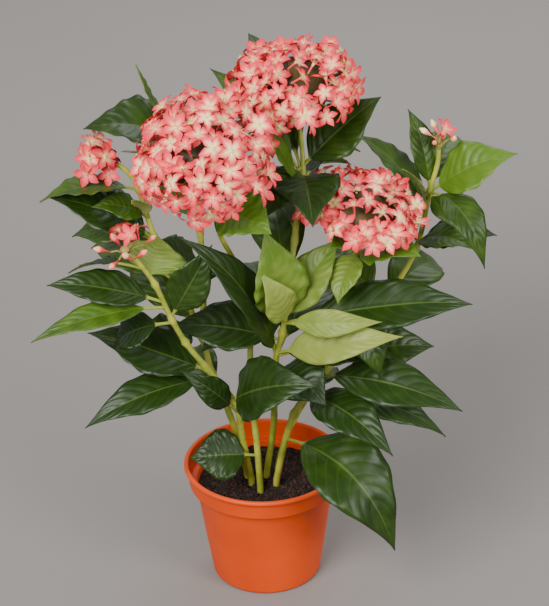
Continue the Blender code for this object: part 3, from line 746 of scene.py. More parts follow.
def soil_material(name, wet, dry):
    """Dark crumbly earth with paler specks."""
    shade = Shade(name)
    crumb = shade.noise(900.0, 6.0, 0.7)
    patch = shade.noise(160.0, 4.0)
    speck = shade.clamp(shade.noise(2300.0, 2.0), 0.66, 0.74)
    colour = shade.mix(shade.clamp(patch + 0.4 * crumb, 0.45, 0.95), wet, dry)
    colour = shade.mix(speck * 0.5, colour, (0.16, 0.10, 0.06, 1.0))
    return shade.finish(
        Base_Color=colour,
        Roughness=0.80 + 0.15 * crumb,
        Normal=shade.bump(crumb, 0.9, 0.002),
    )


def leaf_material():
    """Green blades with a pale midrib and arched side veins, paler beneath."""
    shade = Shade("leaf_green")
    across, along = shade.map_place("leaf_map")
    tone = shade.attribute("tone")
    under = shade.attribute("under")
    side = shade.maths("ABSOLUTE", across * 2.0 - 1.0)
    ladder = (along - VEIN_SWEEP * side ** 1.5) * VEIN_PAIRS
    saw = shade.maths("ABSOLUTE", shade.maths("FRACT", ladder + 0.5) - 0.5)
    inside = 1.0 - shade.clamp(side, 0.82, 1.0)
    vein = (1.0 - shade.clamp(saw, 0.0, 0.09)) * inside * shade.clamp(side, 0.0, 0.08)
    pillow = shade.clamp(saw, 0.0, 0.42) * inside
    midrib = 1.0 - shade.clamp(side, 0.015, 0.05)
    cloud = shade.noise(75.0, 4.0)
    grain = shade.noise(1500.0, 3.0)
    level = shade.clamp(tone + 0.30 * (cloud - 0.5), 0.0, 1.0)
    dark = (0.009, 0.027, 0.0015, 1.0)
    fresh = (0.078, 0.158, 0.010, 1.0)
    olive = (0.215, 0.262, 0.048, 1.0)
    green = shade.mix(shade.clamp(level, 0.0, 0.55), dark, fresh)
    green = shade.mix(shade.clamp(level, 0.5, 0.95), green, olive)
    lit = shade.mix(vein * 0.08, green, (0.14, 0.24, 0.04, 1.0))
    lit = shade.mix(midrib * 0.22, lit, (0.18, 0.27, 0.05, 1.0))
    back = shade.mix(level, (0.13, 0.19, 0.055, 1.0), (0.33, 0.35, 0.10, 1.0))
    back = shade.mix(vein * 0.5 + midrib * 0.5, back, (0.36, 0.38, 0.13, 1.0))
    colour = shade.mix(under, lit, back)
    stalk = 1.0 - shade.clamp(along, 0.0, 0.03)
    colour = shade.mix(stalk * 0.85, colour, (0.30, 0.34, 0.045, 1.0))
    height = grain * 0.12 + pillow * 1.0 - midrib * 0.5 + cloud * 0.3
    return shade.finish(
        Base_Color=colour,
        Roughness=0.31 + 0.12 * cloud + 0.22 * under + 0.08 * tone,
        Normal=shade.bump(height, 0.26, 0.0008),
        Specular_IOR_Level=0.30,
    )


def stem_material(name, low, high, blush):
    """Yellow-green stems with a faint brown blush and fine lines."""
    shade = Shade(name)
    cloud = shade.noise(60.0, 4.0)
    fine = shade.noise(900.0, 4.0)
    colour = shade.mix(shade.clamp(cloud, 0.35, 0.68), low, high)
    colour = shade.mix(shade.clamp(fine, 0.55, 0.75) * 0.35, colour, blush)
    return shade.finish(
        Base_Color=colour,
        Roughness=0.45 + 0.15 * fine,
        Normal=shade.bump(fine, 0.3, 0.0004),
    )


def petal_material():
    """Cream at the eye, coral along the petals and deeper pink at their tips and edges."""
    shade = Shade("petal_pink")
    across, reach = shade.map_place("petal_map")
    tone = shade.attribute("tone")
    side = shade.maths("ABSOLUTE", across * 2.0 - 1.0)
    streak = shade.noise(1300.0, 3.0)
    cloud = shade.noise(240.0, 3.0)
    eye = 1.0 - shade.clamp(reach + 0.38 * side + 0.42 * tone + 0.25 * (cloud - 0.5), 0.22, 0.92)
    tip = shade.clamp(reach + 0.40 * side ** 2.0 + 0.30 * tone, 0.45, 1.20)
    coral = (0.96, 0.125, 0.125, 1.0)
    deep = (0.74, 0.016, 0.040, 1.0)
    colour = shade.mix(tip, coral, deep)
    colour = shade.mix(eye, colour, (1.0, 0.85, 0.40, 1.0))
    colour = shade.mix(shade.clamp(streak, 0.5, 0.8) * 0.22, colour, (0.95, 0.36, 0.30, 1.0))
    return shade.finish(
        Base_Color=colour,
        Roughness=0.55 + 0.12 * streak,
        Normal=shade.bump(streak, 0.3, 0.0004),
        Subsurface_Weight=0.10,
        Subsurface_Radius=(0.6, 0.25, 0.2),
        Subsurface_Scale=0.002,
    )


def floor_material():
    """A matte pale grey ground, darker near the front and lighter further back as painted light."""
    shade = Shade("pale_ground")
    cloud = shade.noise(3.0, 2.0)
    # Painted light: the grey runs darker near the front and lighter towards the back, standing in for
    # how the studio light falls on the ground.
    distance = shade.clamp(shade.along_y() + 0.3 * cloud, -0.7, 2.2)
    colour = shade.mix(distance, (0.178, 0.166, 0.157, 1.0), (0.375, 0.352, 0.333, 1.0))
    return shade.finish(Base_Color=colour, Roughness=0.85 + 0.08 * cloud)


# Geometry trees
def new_tree(name, inputs):
    """An empty geometry tree with a geometry in and out, and the named inputs."""
    tree = bpy.data.node_groups.new(name, "GeometryNodeTree")
    tree.interface.new_socket("Geometry", in_out="INPUT", socket_type="NodeSocketGeometry")
    for label, kind in inputs.items():
        tree.interface.new_socket(label, in_out="INPUT", socket_type=kind)
    tree.interface.new_socket("Geometry", in_out="OUTPUT", socket_type="NodeSocketGeometry")
    return tree


def tree_node(tree, kind, settings=None, sockets=None):
    """One node of a geometry tree, with its settings, then values or links."""
    made = tree.nodes.new(kind)
    for key, value in (settings or {}).items():
        setattr(made, key, value)
    for key, value in (sockets or {}).items():
        if isinstance(value, bpy.types.NodeSocket):
            tree.links.new(value, made.inputs[key])
        else:
            made.inputs[key].default_value = value
    return made


def named(tree, name, kind="FLOAT"):
    """A named attribute as a field."""
    made = tree_node(tree, "GeometryNodeInputNamedAttribute", {"data_type": kind}, {"Name": name})
    return made.outputs["Attribute"]


def scatter_tree():
    """One of three shapes on every point, picked, turned and sized by the point's attributes."""
    inputs = {label: "NodeSocketObject" for label in SHAPE_INPUTS}
    inputs["Material"] = "NodeSocketMaterial"
    tree = new_tree("scatter_on_points", inputs)
    given = tree.nodes.new("NodeGroupInput")
    shapes = tree.nodes.new("GeometryNodeJoinGeometry")
    for label in SHAPE_INPUTS:
        shape = tree_node(tree, "GeometryNodeObjectInfo", None, {
            "Object": given.outputs[label],
            "As Instance": True,
        })
        tree.links.new(shape.outputs["Geometry"], shapes.inputs[0])
    turn = tree_node(
        tree, "FunctionNodeEulerToRotation", None, {0: named(tree, "turn", "FLOAT_VECTOR")}
    )
    placed = tree_node(tree, "GeometryNodeInstanceOnPoints", None, {
        "Points": given.outputs["Geometry"],
        "Instance": shapes.outputs[0],
        "Pick Instance": True,
        "Instance Index": named(tree, "kind", "INT"),
        "Rotation": turn.outputs[0],
        "Scale": named(tree, "size"),
    })
    real = tree_node(tree, "GeometryNodeRealizeInstances", None, {0: placed.outputs[0]})
    coloured = tree_node(tree, "GeometryNodeSetMaterial", None, {
        "Geometry": real.outputs[0],
        "Material": given.outputs["Material"],
    })
    result = tree.nodes.new("NodeGroupOutput")
    tree.links.new(coloured.outputs[0], result.inputs[0])
    return tree


def tube_tree():
    """A round tube along every line, as thick as the line's own attribute."""
    inputs = {"Sides": "NodeSocketInt", "Material": "NodeSocketMaterial"}
    tree = new_tree("tubes_on_lines", inputs)
    given = tree.nodes.new("NodeGroupInput")
    curve = tree_node(tree, "GeometryNodeMeshToCurve", None, {0: given.outputs["Geometry"]})
    ring = tree_node(tree, "GeometryNodeCurvePrimitiveCircle", None, {
        "Resolution": given.outputs["Sides"],
        "Radius": 1.0,
    })
    skin = tree_node(tree, "GeometryNodeCurveToMesh", None, {
        "Curve": curve.outputs[0],
        "Profile Curve": ring.outputs[0],
        "Scale": named(tree, "thick"),
        "Fill Caps": True,
    })
    real = tree_node(tree, "GeometryNodeRealizeInstances", None, {0: skin.outputs[0]})
    coloured = tree_node(tree, "GeometryNodeSetMaterial", None, {
        "Geometry": real.outputs[0],
        "Material": given.outputs["Material"],
    })
    result = tree.nodes.new("NodeGroupOutput")
    tree.links.new(coloured.outputs[0], result.inputs[0])
    return tree


def grown(name, holder, tree, inputs):
    """Run a geometry tree on a holder's mesh and keep the result as a plain mesh."""
    modifier = holder.modifiers.new("grow", "NODES")
    modifier.node_group = tree
    for item in tree.interface.items_tree:
        if item.in_out == "INPUT" and item.name in inputs:
            modifier[item.identifier] = inputs[item.name]
    depsgraph = bpy.context.evaluated_depsgraph_get()
    mesh = bpy.data.meshes.new_from_object(holder.evaluated_get(depsgraph))
    holder.modifiers.clear()
    bpy.data.objects.remove(holder, do_unlink=True)
    mesh.name = name
    obj = bpy.data.objects.new(name, mesh)
    bpy.context.scene.collection.objects.link(obj)
    return obj


def point_holder(name, points, attributes):
    """A mesh of loose points with attributes."""
    mesh = bpy.data.meshes.new(name)
    mesh.from_pydata([tuple(Vector(p) * MM) for p in points], [], [])
    for label, values in attributes.items():
        flat = np.array([tuple(v) if label == "turn" else v for v in values])
        kind = "FLOAT_VECTOR" if flat.ndim == 2 else "INT" if label == "kind" else "FLOAT"
        layer = mesh.attributes.new(label, kind, "POINT")
        layer.data.foreach_set("vector" if flat.ndim == 2 else "value", flat.ravel())
    obj = bpy.data.objects.new(name, mesh)
    bpy.context.scene.collection.objects.link(obj)
    return obj


def line_holder(name, lines):
    """A mesh of open lines, each a list of places and thicknesses in millimetres."""
    points = []
    edges = []
    thick = []
    for places, radii in lines:
        start = len(points)
        points += [tuple(Vector(p) * MM) for p in places]
        thick += [radius * MM for radius in radii]
        edges += [(start + n, start + n + 1) for n in range(len(places) - 1)]
    mesh = bpy.data.meshes.new(name)
    mesh.from_pydata(points, edges, [])
    layer = mesh.attributes.new("thick", "FLOAT", "POINT")
    layer.data.foreach_set("value", np.array(thick, dtype=np.float32))
    obj = bpy.data.objects.new(name, mesh)
    bpy.context.scene.collection.objects.link(obj)
    return obj


def hand_in(obj, nodes):
    """Smooth a finished piece and give it to the frame."""
    obj.data.shade_smooth()
    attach(obj, "root")
    if nodes:
        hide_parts(*nodes)


# Fine leaves
def blade_width(t):
    """Half width of a blade along its length, as a share of the widest."""
    swell = math.sin(math.pi * min(max(t, 0.0), 1.0) ** 0.78)
    taper = 1.0 - 0.22 * max(t - 0.55, 0.0) / 0.45
    return max(swell, 0.0) ** 1.05 * taper


def quilt(t, side):
    """Height of the blade between its sunk side veins."""
    ladder = (t - VEIN_SWEEP * side ** 1.5) * VEIN_PAIRS + 0.5
    saw = abs(ladder - math.floor(ladder) - 0.5) * 2.0
    between = 1.0 - (1.0 - saw) ** 3
    edge = 4.0 * side * (1.0 - side) if side > 0.5 else min(1.0, side * 6.0)
    return between * edge


def fine_leaf(base, leaf, phase, draw):
    """Rows of points for the upper and lower faces of one leaf, and its map."""
    tip, width, arch, roll, stalk = leaf
    length = (tip - base).length
    up = leaf_frame(base, tip, roll)
    bend = base.lerp(tip, 0.5) + up * (2.0 * arch * length)
    ripples = draw.uniform(4.0, 6.5)
    droop = draw.uniform(0.02, 0.07) * length
    twist = math.radians(draw.uniform(-14.0, 14.0))
    rows = [(stalk * n / STALK_ROWS, -1.0) for n in range(STALK_ROWS)]
    for n in range(BLADE_ROWS + 1):
        share = n / BLADE_ROWS
        rows.append((stalk + (1.0 - stalk) * share, share))
    upper = []
    lower = []
    places = []
    for t, blade in rows:
        place = base * (1 - t) ** 2 + bend * (2 * t * (1 - t)) + tip * t ** 2
        along = ((bend - base) * (1 - t) + (tip - bend) * t).normalized()
        normal = (up - along * up.dot(along)).normalized()
        if blade > 0.0:
            normal = Matrix.Rotation(twist * blade, 3, along) @ normal
            place = place - up * (droop * max(blade - 0.6, 0.0) ** 2 / 0.16)
        across = along.cross(normal)
        if blade < 0.0:
            half = STALK_HALF_WIDTH
            thick = STALK_THICKNESS
        else:
            ease = min(blade / 0.10, 1.0)
            half = max(0.5 * width * blade_width(blade), 1.2 * (1.0 - blade) + 0.25)
            thick = STALK_THICKNESS * (1.0 - ease) + FINE_THICKNESS * ease
        for column in range(-HALF_COLUMNS, HALF_COLUMNS + 1):
            share = column / HALF_COLUMNS
            side = abs(share)
            sign = 1.0 if share >= 0.0 else -1.0
            height = 0.0
            if blade >= 0.0:
                height = LEAF_FOLD * half * side
                wave = math.sin(phase + 2.4 + sign * 1.1 + blade * 9.0)
                height += LEAF_WAVE * 0.8 * half * wave * side
                ripple = math.sin(phase * 3.0 + sign + blade * ripples * 2.0 * math.pi)
                height += RIPPLE * half * ripple * side ** 3
                height += QUILT_HEIGHT * half * quilt(blade, side)
            round_edge = math.sqrt(max(1.0 - side ** 3, 0.02))
            centre = place + across * (half * share) + normal * height
            rib = 0.35 * math.exp(-(side * 9.0) ** 2) if blade >= 0.0 else 0.0
            upper.append(centre + normal * (0.5 * thick * round_edge - rib * 0.4))
            lower.append(centre - normal * (0.5 * thick * round_edge + rib))
            places.append((0.5 + 0.5 * share, max(blade, 0.0)))
    return upper, lower, places


def leaf_piece(node, leaves, material):
    """All the leaves of one stem as one mesh, with their map, tone and underside marked."""
    columns = 2 * HALF_COLUMNS + 1
    points = []
    faces = []
    maps = []
    tones = []
    unders = []
    draw = np.random.default_rng(SEED + len(node))
    for base, leaf, phase, tone in leaves:
        upper, lower, places = fine_leaf(base, leaf, phase, draw)
        start = len(points)
        count = len(upper)
        rows = count // columns
        points += upper + lower
        maps += places + places
        tones += [tone] * (2 * count)
        unders += [0.0] * count + [1.0] * count
        for row in range(rows - 1):
            for column in range(columns - 1):
                a = start + row * columns + column
                b = a + columns
                faces.append((a, a + 1, b + 1, b))
                faces.append((a + count, b + count, b + 1 + count, a + 1 + count))
            for column in (0, columns - 1):
                a = start + row * columns + column
                b = a + columns
                edge = (a, b, b + count, a + count)
                faces.append(edge if column == 0 else edge[::-1])
        for column in range(columns - 1):
            a = start + column
            faces.append((a, a + count, a + 1 + count, a + 1))
            b = start + (rows - 1) * columns + column
            faces.append((b, b + 1, b + 1 + count, b + count))
    name = "leaves_" + node
    mesh = bpy.data.meshes.new(name)
    mesh.from_pydata([tuple(p * MM) for p in points], [], faces)
    corners = np.zeros(len(mesh.loops), dtype=np.int32)
    mesh.loops.foreach_get("vertex_index", corners)
    layer = mesh.uv_layers.new(name="leaf_map")
    flat = np.array(maps, dtype=np.float32)[corners]
    layer.data.foreach_set("uv", flat.ravel())
    for label, values in (("tone", tones), ("under", unders)):
        spread = mesh.attributes.new(label, "FLOAT", "POINT")
        spread.data.foreach_set("value", np.array(values, dtype=np.float32))
    obj = bpy.data.objects.new(name, mesh)
    bpy.context.scene.collection.objects.link(obj)
    face_outwards(obj)
    mesh.materials.append(material)
    return obj


def face_outwards(obj):
    """Make all faces of closed bodies point out."""
    work = bmesh.new()
    work.from_mesh(obj.data)
    bmesh.ops.recalc_face_normals(work, faces=work.faces)
    work.to_mesh(obj.data)
    work.free()


def stem_line(path, foot=True):
    """A smooth line up a stem, with swollen knots, and its thickness at each place."""
    places = rounded_path(path, 8)
    if foot:
        places[0] = places[0] - Vector((0.0, 0.0, STEM_DEPTH))
    count = len(places) - 1
    radii = []
    for number in range(len(places)):
        radius = STEM_FOOT_RADIUS + (STEM_END_RADIUS - STEM_FOOT_RADIUS) * number / count
        from_knot = abs((number + 4) % 8 - 4)
        is_inner = 8 < number < count - 8
        swell = 0.50 * math.exp(-((from_knot / 0.8) ** 2)) if is_inner else 0.0
        radii.append(radius * (0.86 + swell))
    return places, radii


# Fine florets
def floret_mesh(name, cup, material):
    """One floret of radius one: five pointed petals, a tube, and a tuft at the eye."""
    points = []
    faces = []
    maps = []

    def add(place, across, reach):
        points.append(place)
        maps.append((across, reach))
        return len(points) - 1

    rows = ((0.10, 0.11, 0.00), (0.30, 0.21, 0.05), (0.52, 0.30, 0.07), (0.76, 0.19, 0.03))
    for petal in range(PETALS):
        angle = 2.0 * math.pi * petal / PETALS
        out = Vector((math.cos(angle), math.sin(angle), 0.0))
        side = Vector((-math.sin(angle), math.cos(angle), 0.0))
        skew = cup + 0.08 * math.sin(2.3 * petal + 9.0 * cup)
        previous = None
        for reach, half, height in rows:
            height = height + skew * reach ** 2
            level = Vector((0.0, 0.0, 1.0))
            middle = out * reach + level * height
            rim = level * (0.11 * reach)
            top = [
                add(middle + side * half + rim, 0.0, reach),
                add(middle - level * 0.02, 0.5, reach),
                add(middle - side * half + rim, 1.0, reach),
            ]
            if previous:
                for n in (0, 1):
                    faces.append((previous[n], previous[n + 1], top[n + 1], top[n]))
            previous = top
        end = add(out * 1.0 + Vector((0.0, 0.0, -0.05 + skew)), 0.5, 1.0)
        faces.append((previous[0], previous[1], end))
        faces.append((previous[1], previous[2], end))
    sides = 5
    rings = []
    for radius, height in ((0.14, 0.03), (0.085, -0.30), (0.07, -0.95)):
        ring = []
        for n in range(sides):
            angle = 2.0 * math.pi * (n + 0.5) / sides
            place = Vector((radius * math.cos(angle), radius * math.sin(angle), height))
            ring.append(add(place, 0.5, 0.15 if height > 0 else 0.8))
        rings.append(ring)
    for low, high in zip(rings, rings[1:]):
        for n in range(sides):
            after = (n + 1) % sides
            faces.append((high[n], high[after], low[after], low[n]))
    crown = add(Vector((0.0, 0.0, 0.07)), 0.5, 0.0)
    for n in range(sides):
        faces.append((rings[0][n], rings[0][(n + 1) % sides], crown))
    for n in range(sides):
        angle = 2.0 * math.pi * n / sides + 0.4
        foot = Vector((0.05 * math.cos(angle), 0.05 * math.sin(angle), 0.02))
        spread = Vector((0.17 * math.cos(angle), 0.17 * math.sin(angle), 0.34))
        turn = Vector((-math.sin(angle), math.cos(angle), 0.0)) * 0.034
        a = add(foot + turn, 0.5, 0.0)
        b = add(foot - turn, 0.5, 0.0)
        c = add(foot * 2.2, 0.5, 0.0)
        d = add(spread, 0.5, 0.0)
        faces += [(a, b, d), (b, c, d), (c, a, d), (a, c, b)]
    return shaped_mesh(name, points, faces, maps, material)


def bud_mesh(material):
    """One closed bud of length one, thickest near its end."""
    points = []
    faces = []
    maps = []
    sides = 6
    rings = []
    for radius, height in ((0.045, -1.0), (0.06, -0.50), (0.20, -0.08), (0.22, 0.14), (0.04, 0.46)):
        ring = []
        for n in range(sides):
            angle = 2.0 * math.pi * n / sides
            points.append(Vector((radius * math.cos(angle), radius * math.sin(angle), height)))
            maps.append((0.5, 0.30 if height > 0.0 else 0.62))
            ring.append(len(points) - 1)
        rings.append(ring)
    for low, high in zip(rings, rings[1:]):
        for n in range(sides):
            after = (n + 1) % sides
            faces.append((low[n], low[after], high[after], high[n]))
    faces.append(tuple(reversed(rings[0])))
    faces.append(tuple(rings[-1]))
    return shaped_mesh("bud_shape", points, faces, maps, material)


def shaped_mesh(name, points, faces, maps, material):
    """A hidden object with a map, for placing many times."""
    mesh = bpy.data.meshes.new(name)
    mesh.from_pydata([tuple(p) for p in points], [], faces)
    corners = np.zeros(len(mesh.loops), dtype=np.int32)
    mesh.loops.foreach_get("vertex_index", corners)
    layer = mesh.uv_layers.new(name="petal_map")
    flat = np.array(maps, dtype=np.float32)[corners]
    layer.data.foreach_set("uv", flat.ravel())
    mesh.materials.append(material)
    obj = bpy.data.objects.new(name, mesh)
    bpy.context.scene.collection.objects.link(obj)
    return obj


def turn_for(facing, spin):
    """The turn that brings +Z to a direction, after a spin about +Z."""
    turn = facing.to_track_quat("Z", "Y").to_matrix() @ Matrix.Rotation(spin, 3, "Z")
    return tuple(turn.to_euler())


def fine_head(name, florets_made, bud, petal, stalk, scatter, tubes):
    """The florets, buds and thin stalks of one head."""
    centre, across, along, axis, reach, florets, buds, size = HEADS[name]
    small = across < SMALL_HEAD
    fine_count = florets if small else round(florets * FINE_PER_COARSE)
    head = (centre, across, along, axis, reach, fine_count, buds, size)
    middle = Vector(centre)
    pole = Vector(axis).normalized()
    foot = middle - pole * (0.35 * along)
    draw = np.random.default_rng(SEED + 10 * len(name))
    spots = {True: [], False: []}
    turns = {True: [], False: []}
    sizes = {True: [], False: []}
    tones = {True: [], False: []}
    kinds = {True: [], False: []}
    lines = []
    left = fine_count
    for number, (place, facing) in enumerate(dome_places(head)):
        lean = Vector(draw.uniform(-0.60, 0.60, 3))
        facing = (facing + lean).normalized()
        place = place + facing * draw.uniform(-8.0, 2.0)
        is_open = number < fine_count
        if buds:
            is_open = number % (1 + round(buds / fine_count)) == 0 and left > 0
            left -= 1 if is_open else 0
        scale = FINE_FLORET_RADIUS * draw.uniform(0.84, 1.20)
        spots[is_open].append(place)
        turns[is_open].append(turn_for(facing, draw.uniform(0.0, 6.28)))
        sizes[is_open].append(scale * MM)
        tones[is_open].append(draw.uniform(0.0, 0.9 if not small else 1.2))
        kinds[is_open].append(int(draw.integers(0, len(SHAPE_INPUTS))))
        back = 0.95 if is_open else 0.9
        start = place - facing * (scale * back)
        bend = foot.lerp(start, 0.55) + pole * 2.0
        lines.append(([foot.lerp(bend, 0.2), bend, start], [1.1, 0.75, 0.7]))
    nodes = ("head_" + name,)
    made = []
    for is_open, shapes in ((True, florets_made), (False, [bud] * len(SHAPE_INPUTS))):
        if not spots[is_open]:
            continue
        attributes = {"turn": turns[is_open], "size": sizes[is_open]}
        attributes.update({"tone": tones[is_open], "kind": kinds[is_open]})
        label = ("florets_" if is_open else "buds_") + name
        holder = point_holder(label + "_spots", spots[is_open], attributes)
        inputs = dict(zip(SHAPE_INPUTS, shapes))
        inputs["Material"] = petal
        made.append(grown(label, holder, scatter, inputs))
    for obj in made:
        hand_in(obj, nodes)
    stalks = grown("stalks_" + name, line_holder("lines_" + name, lines), tubes,
                   {"Sides": 6, "Material": stalk})
    hand_in(stalks, nodes)


def fine_heart(name, material):
    """The heart of a head, where its stalks part; a large head's heart is coloured very dark as
    painted shade deep between its florets.
    """
    centre, across, along, axis, reach, florets, buds, size = HEADS[name]
    core, foot = core_and_foot(across)
    points, faces = core_shape(HEADS[name])
    draw = np.random.default_rng(SEED)
    middle = Vector(centre)
    share = 0.80 if core > 0.5 else 0.42
    shaped = []
    for point in points:
        out = Vector(point) - middle
        shaped.append(tuple((middle + out * (share * draw.uniform(0.85, 1.1))) * MM))
    mesh = bpy.data.meshes.new("heart_" + name)
    mesh.from_pydata(shaped, [], faces)
    mesh.materials.append(material)
    obj = bpy.data.objects.new("heart_" + name, mesh)
    bpy.context.scene.collection.objects.link(obj)
    face_outwards(obj)
    return obj


# Pot and soil in full
def pot_profile():
    """Coarse outline of the pot, which the leaves settle around."""
    inner_step_z = COLLAR_BOTTOM_Z + WALL
    return (
        (0.0, 0.0),
        (BASE_RADIUS - 2.0, 0.0),
        (BASE_RADIUS, 1.8),
        (BODY_TOP_RADIUS, COLLAR_BOTTOM_Z),
        (COLLAR_BOTTOM_RADIUS, COLLAR_BOTTOM_Z + 0.4),
        (RIM_RADIUS - 1.9, POT_HEIGHT - 4.6),
        (RIM_RADIUS - 0.2, POT_HEIGHT - 3.6),
        (RIM_RADIUS, POT_HEIGHT - 1.2),
        (RIM_RADIUS - 1.2, POT_HEIGHT),
        (RIM_RADIUS - 2.6, POT_HEIGHT - 0.5),
        (COLLAR_BOTTOM_RADIUS - WALL, inner_step_z + 0.6),
        (BODY_TOP_RADIUS - WALL, inner_step_z - 1.0),
        (BASE_RADIUS - WALL, FLOOR),
        (0.0, FLOOR),
    )


def fine_pot_profile():
    """The pot's outline with a round lip, eased edges and a rounded foot."""
    step = COLLAR_BOTTOM_Z
    lip_z = POT_HEIGHT - 2.0
    lip_r = RIM_RADIUS - 1.9
    outline = [(0.0, 0.6), (30.0, 0.6), (32.0, 0.0), (BASE_RADIUS - 3.0, 0.0)]
    for n in range(1, 6):
        angle = math.radians(90.0 * n / 5)
        outline.append((BASE_RADIUS - 3.0 + 3.0 * math.sin(angle), 3.0 - 3.0 * math.cos(angle)))
    slope = (BODY_TOP_RADIUS - BASE_RADIUS) / step
    outline += [
        (BASE_RADIUS + slope * 30.0, 30.0),
        (BODY_TOP_RADIUS - 0.3, step - 1.6),
        (BODY_TOP_RADIUS + 0.3, step - 0.2),
        (COLLAR_BOTTOM_RADIUS - 0.7, step - 0.1),
        (COLLAR_BOTTOM_RADIUS - 0.1, step + 0.2),
        (COLLAR_BOTTOM_RADIUS + 0.1, step + 0.9),
        (lip_r - 0.9, POT_HEIGHT - 5.6),
        (lip_r - 0.6, POT_HEIGHT - 4.6),
    ]
    for n in range(9):
        angle = math.radians(-70.0 + 250.0 * n / 8)
        outline.append((lip_r + 1.9 * math.cos(angle), lip_z + 1.9 * math.sin(angle)))
    outline += [
        (COLLAR_BOTTOM_RADIUS - WALL, step + 3.0),
        (COLLAR_BOTTOM_RADIUS - WALL - 0.5, step + 1.9),
        (BODY_TOP_RADIUS - WALL + 0.6, step + 1.5),
        (BODY_TOP_RADIUS - WALL, step + 0.6),
        (BASE_RADIUS - WALL, FLOOR),
        (0.0, FLOOR),
    ]
    return outline


def make_pot(material):
    """The pot as a finely turned piece."""
    points, faces = revolve(fine_pot_profile(), 144)
    mesh = bpy.data.meshes.new("pot_fine")
    mesh.from_pydata([tuple(c * MM for c in p) for p in points], [], faces)
    mesh.materials.append(material)
    obj = bpy.data.objects.new("pot_fine", mesh)
    bpy.context.scene.collection.objects.link(obj)
    face_outwards(obj)
    obj.data.shade_smooth()
    obj.data.set_sharp_from_angle(angle=math.radians(50.0))
    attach(obj, "root")
    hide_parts("pot")


def soil_height(x, y):
    """Lumpy top of the soil."""
    lumps = 1.1 * math.sin(0.21 * x + 1.0) * math.cos(0.17 * y)
    crumbs = 0.7 * math.sin(0.43 * x + 0.37 * y)
    return SOIL_TOP_Z + lumps + crumbs


def grain_mesh(name, material, draw):
    """One lumpy crumb of soil, of radius one."""
    work = bmesh.new()
    bmesh.ops.create_icosphere(work, subdivisions=1, radius=1.0)
    for vert in work.verts:
        vert.co *= draw.uniform(0.7, 1.25)
    mesh = bpy.data.meshes.new(name)
    work.to_mesh(mesh)
    work.free()
    mesh.materials.append(material)
    obj = bpy.data.objects.new(name, mesh)
    bpy.context.scene.collection.objects.link(obj)
    return obj


def make_soil(earth, crumb_material, scatter):
    """The soil's filling with a rough top, and loose crumbs that lie on it."""
    draw = np.random.default_rng(SEED)
    brim = 49.6
    outline = [(0.0, 2.6), (38.0, 2.6), (brim, SOIL_TOP_Z)]
    outline += [(brim * (1.0 - n / 26), SOIL_TOP_Z) for n in range(1, 26)]
    outline += [(0.0, SOIL_TOP_Z)]
    points, faces = revolve(outline, 96)
    shaped = []
    for x, y, z in points:
        if z > SOIL_TOP_Z - 1.0:
            z = soil_height(x, y) + draw.uniform(-0.9, 0.9)
        shaped.append((x, y, z))
    mesh = bpy.data.meshes.new("soil_fine")
    mesh.from_pydata([tuple(c * MM for c in p) for p in shaped], [], faces)
    mesh.materials.append(earth)
    obj = bpy.data.objects.new("soil_fine", mesh)
    bpy.context.scene.collection.objects.link(obj)
    face_outwards(obj)
    hand_in(obj, ("soil",))
    grains = [grain_mesh(label, crumb_material, draw) for label in SHAPE_INPUTS]
    spots = []
    turns = []
    sizes = []
    for number in range(2600):
        radius = (brim - 1.0) * math.sqrt(draw.uniform())
        angle = draw.uniform(0.0, 6.283)
        x = radius * math.cos(angle)
        y = radius * math.sin(angle)
        spots.append((x, y, soil_height(x, y) + draw.uniform(-0.4, 0.9)))
        turns.append(tuple(draw.uniform(0.0, 6.283, 3)))
        sizes.append(MM * (0.45 + 1.1 * draw.uniform() ** 3))
    kinds = [number % len(SHAPE_INPUTS) for number in range(len(spots))]
    attributes = {"turn": turns, "size": sizes, "kind": kinds}
    holder = point_holder("crumb_spots", spots, attributes)
    inputs = dict(zip(SHAPE_INPUTS, grains))
    inputs["Material"] = crumb_material
    crumbs = grown("soil_crumbs", holder, scatter, inputs)
    for grain in grains:
        bpy.data.objects.remove(grain, do_unlink=True)
    hand_in(crumbs, ("soil",))


# Floor, light and camera
def make_stage():
    """A wide flat ground under the plant."""
    points = [(-GROUND_REACH, -GROUND_REACH, 0.0), (GROUND_REACH, -GROUND_REACH, 0.0)]
    points += [(GROUND_REACH, GROUND_REACH, 0.0), (-GROUND_REACH, GROUND_REACH, 0.0)]
    mesh = bpy.data.meshes.new("ground")
    mesh.from_pydata(points, [], [(0, 1, 2, 3)])
    mesh.materials.append(floor_material())
    ground = bpy.data.objects.new("ground", mesh)
    bpy.context.scene.collection.objects.link(ground)


def make_lamp(name, place, target, size, power, tint):
    """A large soft lamp that looks at a place."""
    lamp = bpy.data.lights.new(name, "AREA")
    lamp.shape = "DISK"
    lamp.size = size
    lamp.energy = power
    lamp.color = tint
    obj = bpy.data.objects.new(name, lamp)
    obj.location = place
    away = Vector(target) - Vector(place)
    obj.rotation_euler = away.to_track_quat("-Z", "Y").to_euler()
    bpy.context.scene.collection.objects.link(obj)


def make_light():
    """Soft studio light from above, with a fill from the right."""
    middle = (0.0, 0.0, 0.22)
    make_lamp("key", (-0.75, -1.30, 1.35), middle, 1.15, 54.0, (1.0, 0.98, 0.95))
    make_lamp("fill", (1.15, -1.0, 0.85), middle, 0.8, 19.0, (1.0, 0.99, 0.98))
    make_lamp("back", (0.35, 1.1, 1.35), middle, 1.1, 9.0, (1.0, 1.0, 1.0))
    world = bpy.data.worlds.new("studio")
    world.use_nodes = True
    world.node_tree.nodes["Background"].inputs[0].default_value = (0.97, 0.98, 1.0, 1.0)
    world.node_tree.nodes["Background"].inputs[1].default_value = 0.52
    bpy.context.scene.world = world


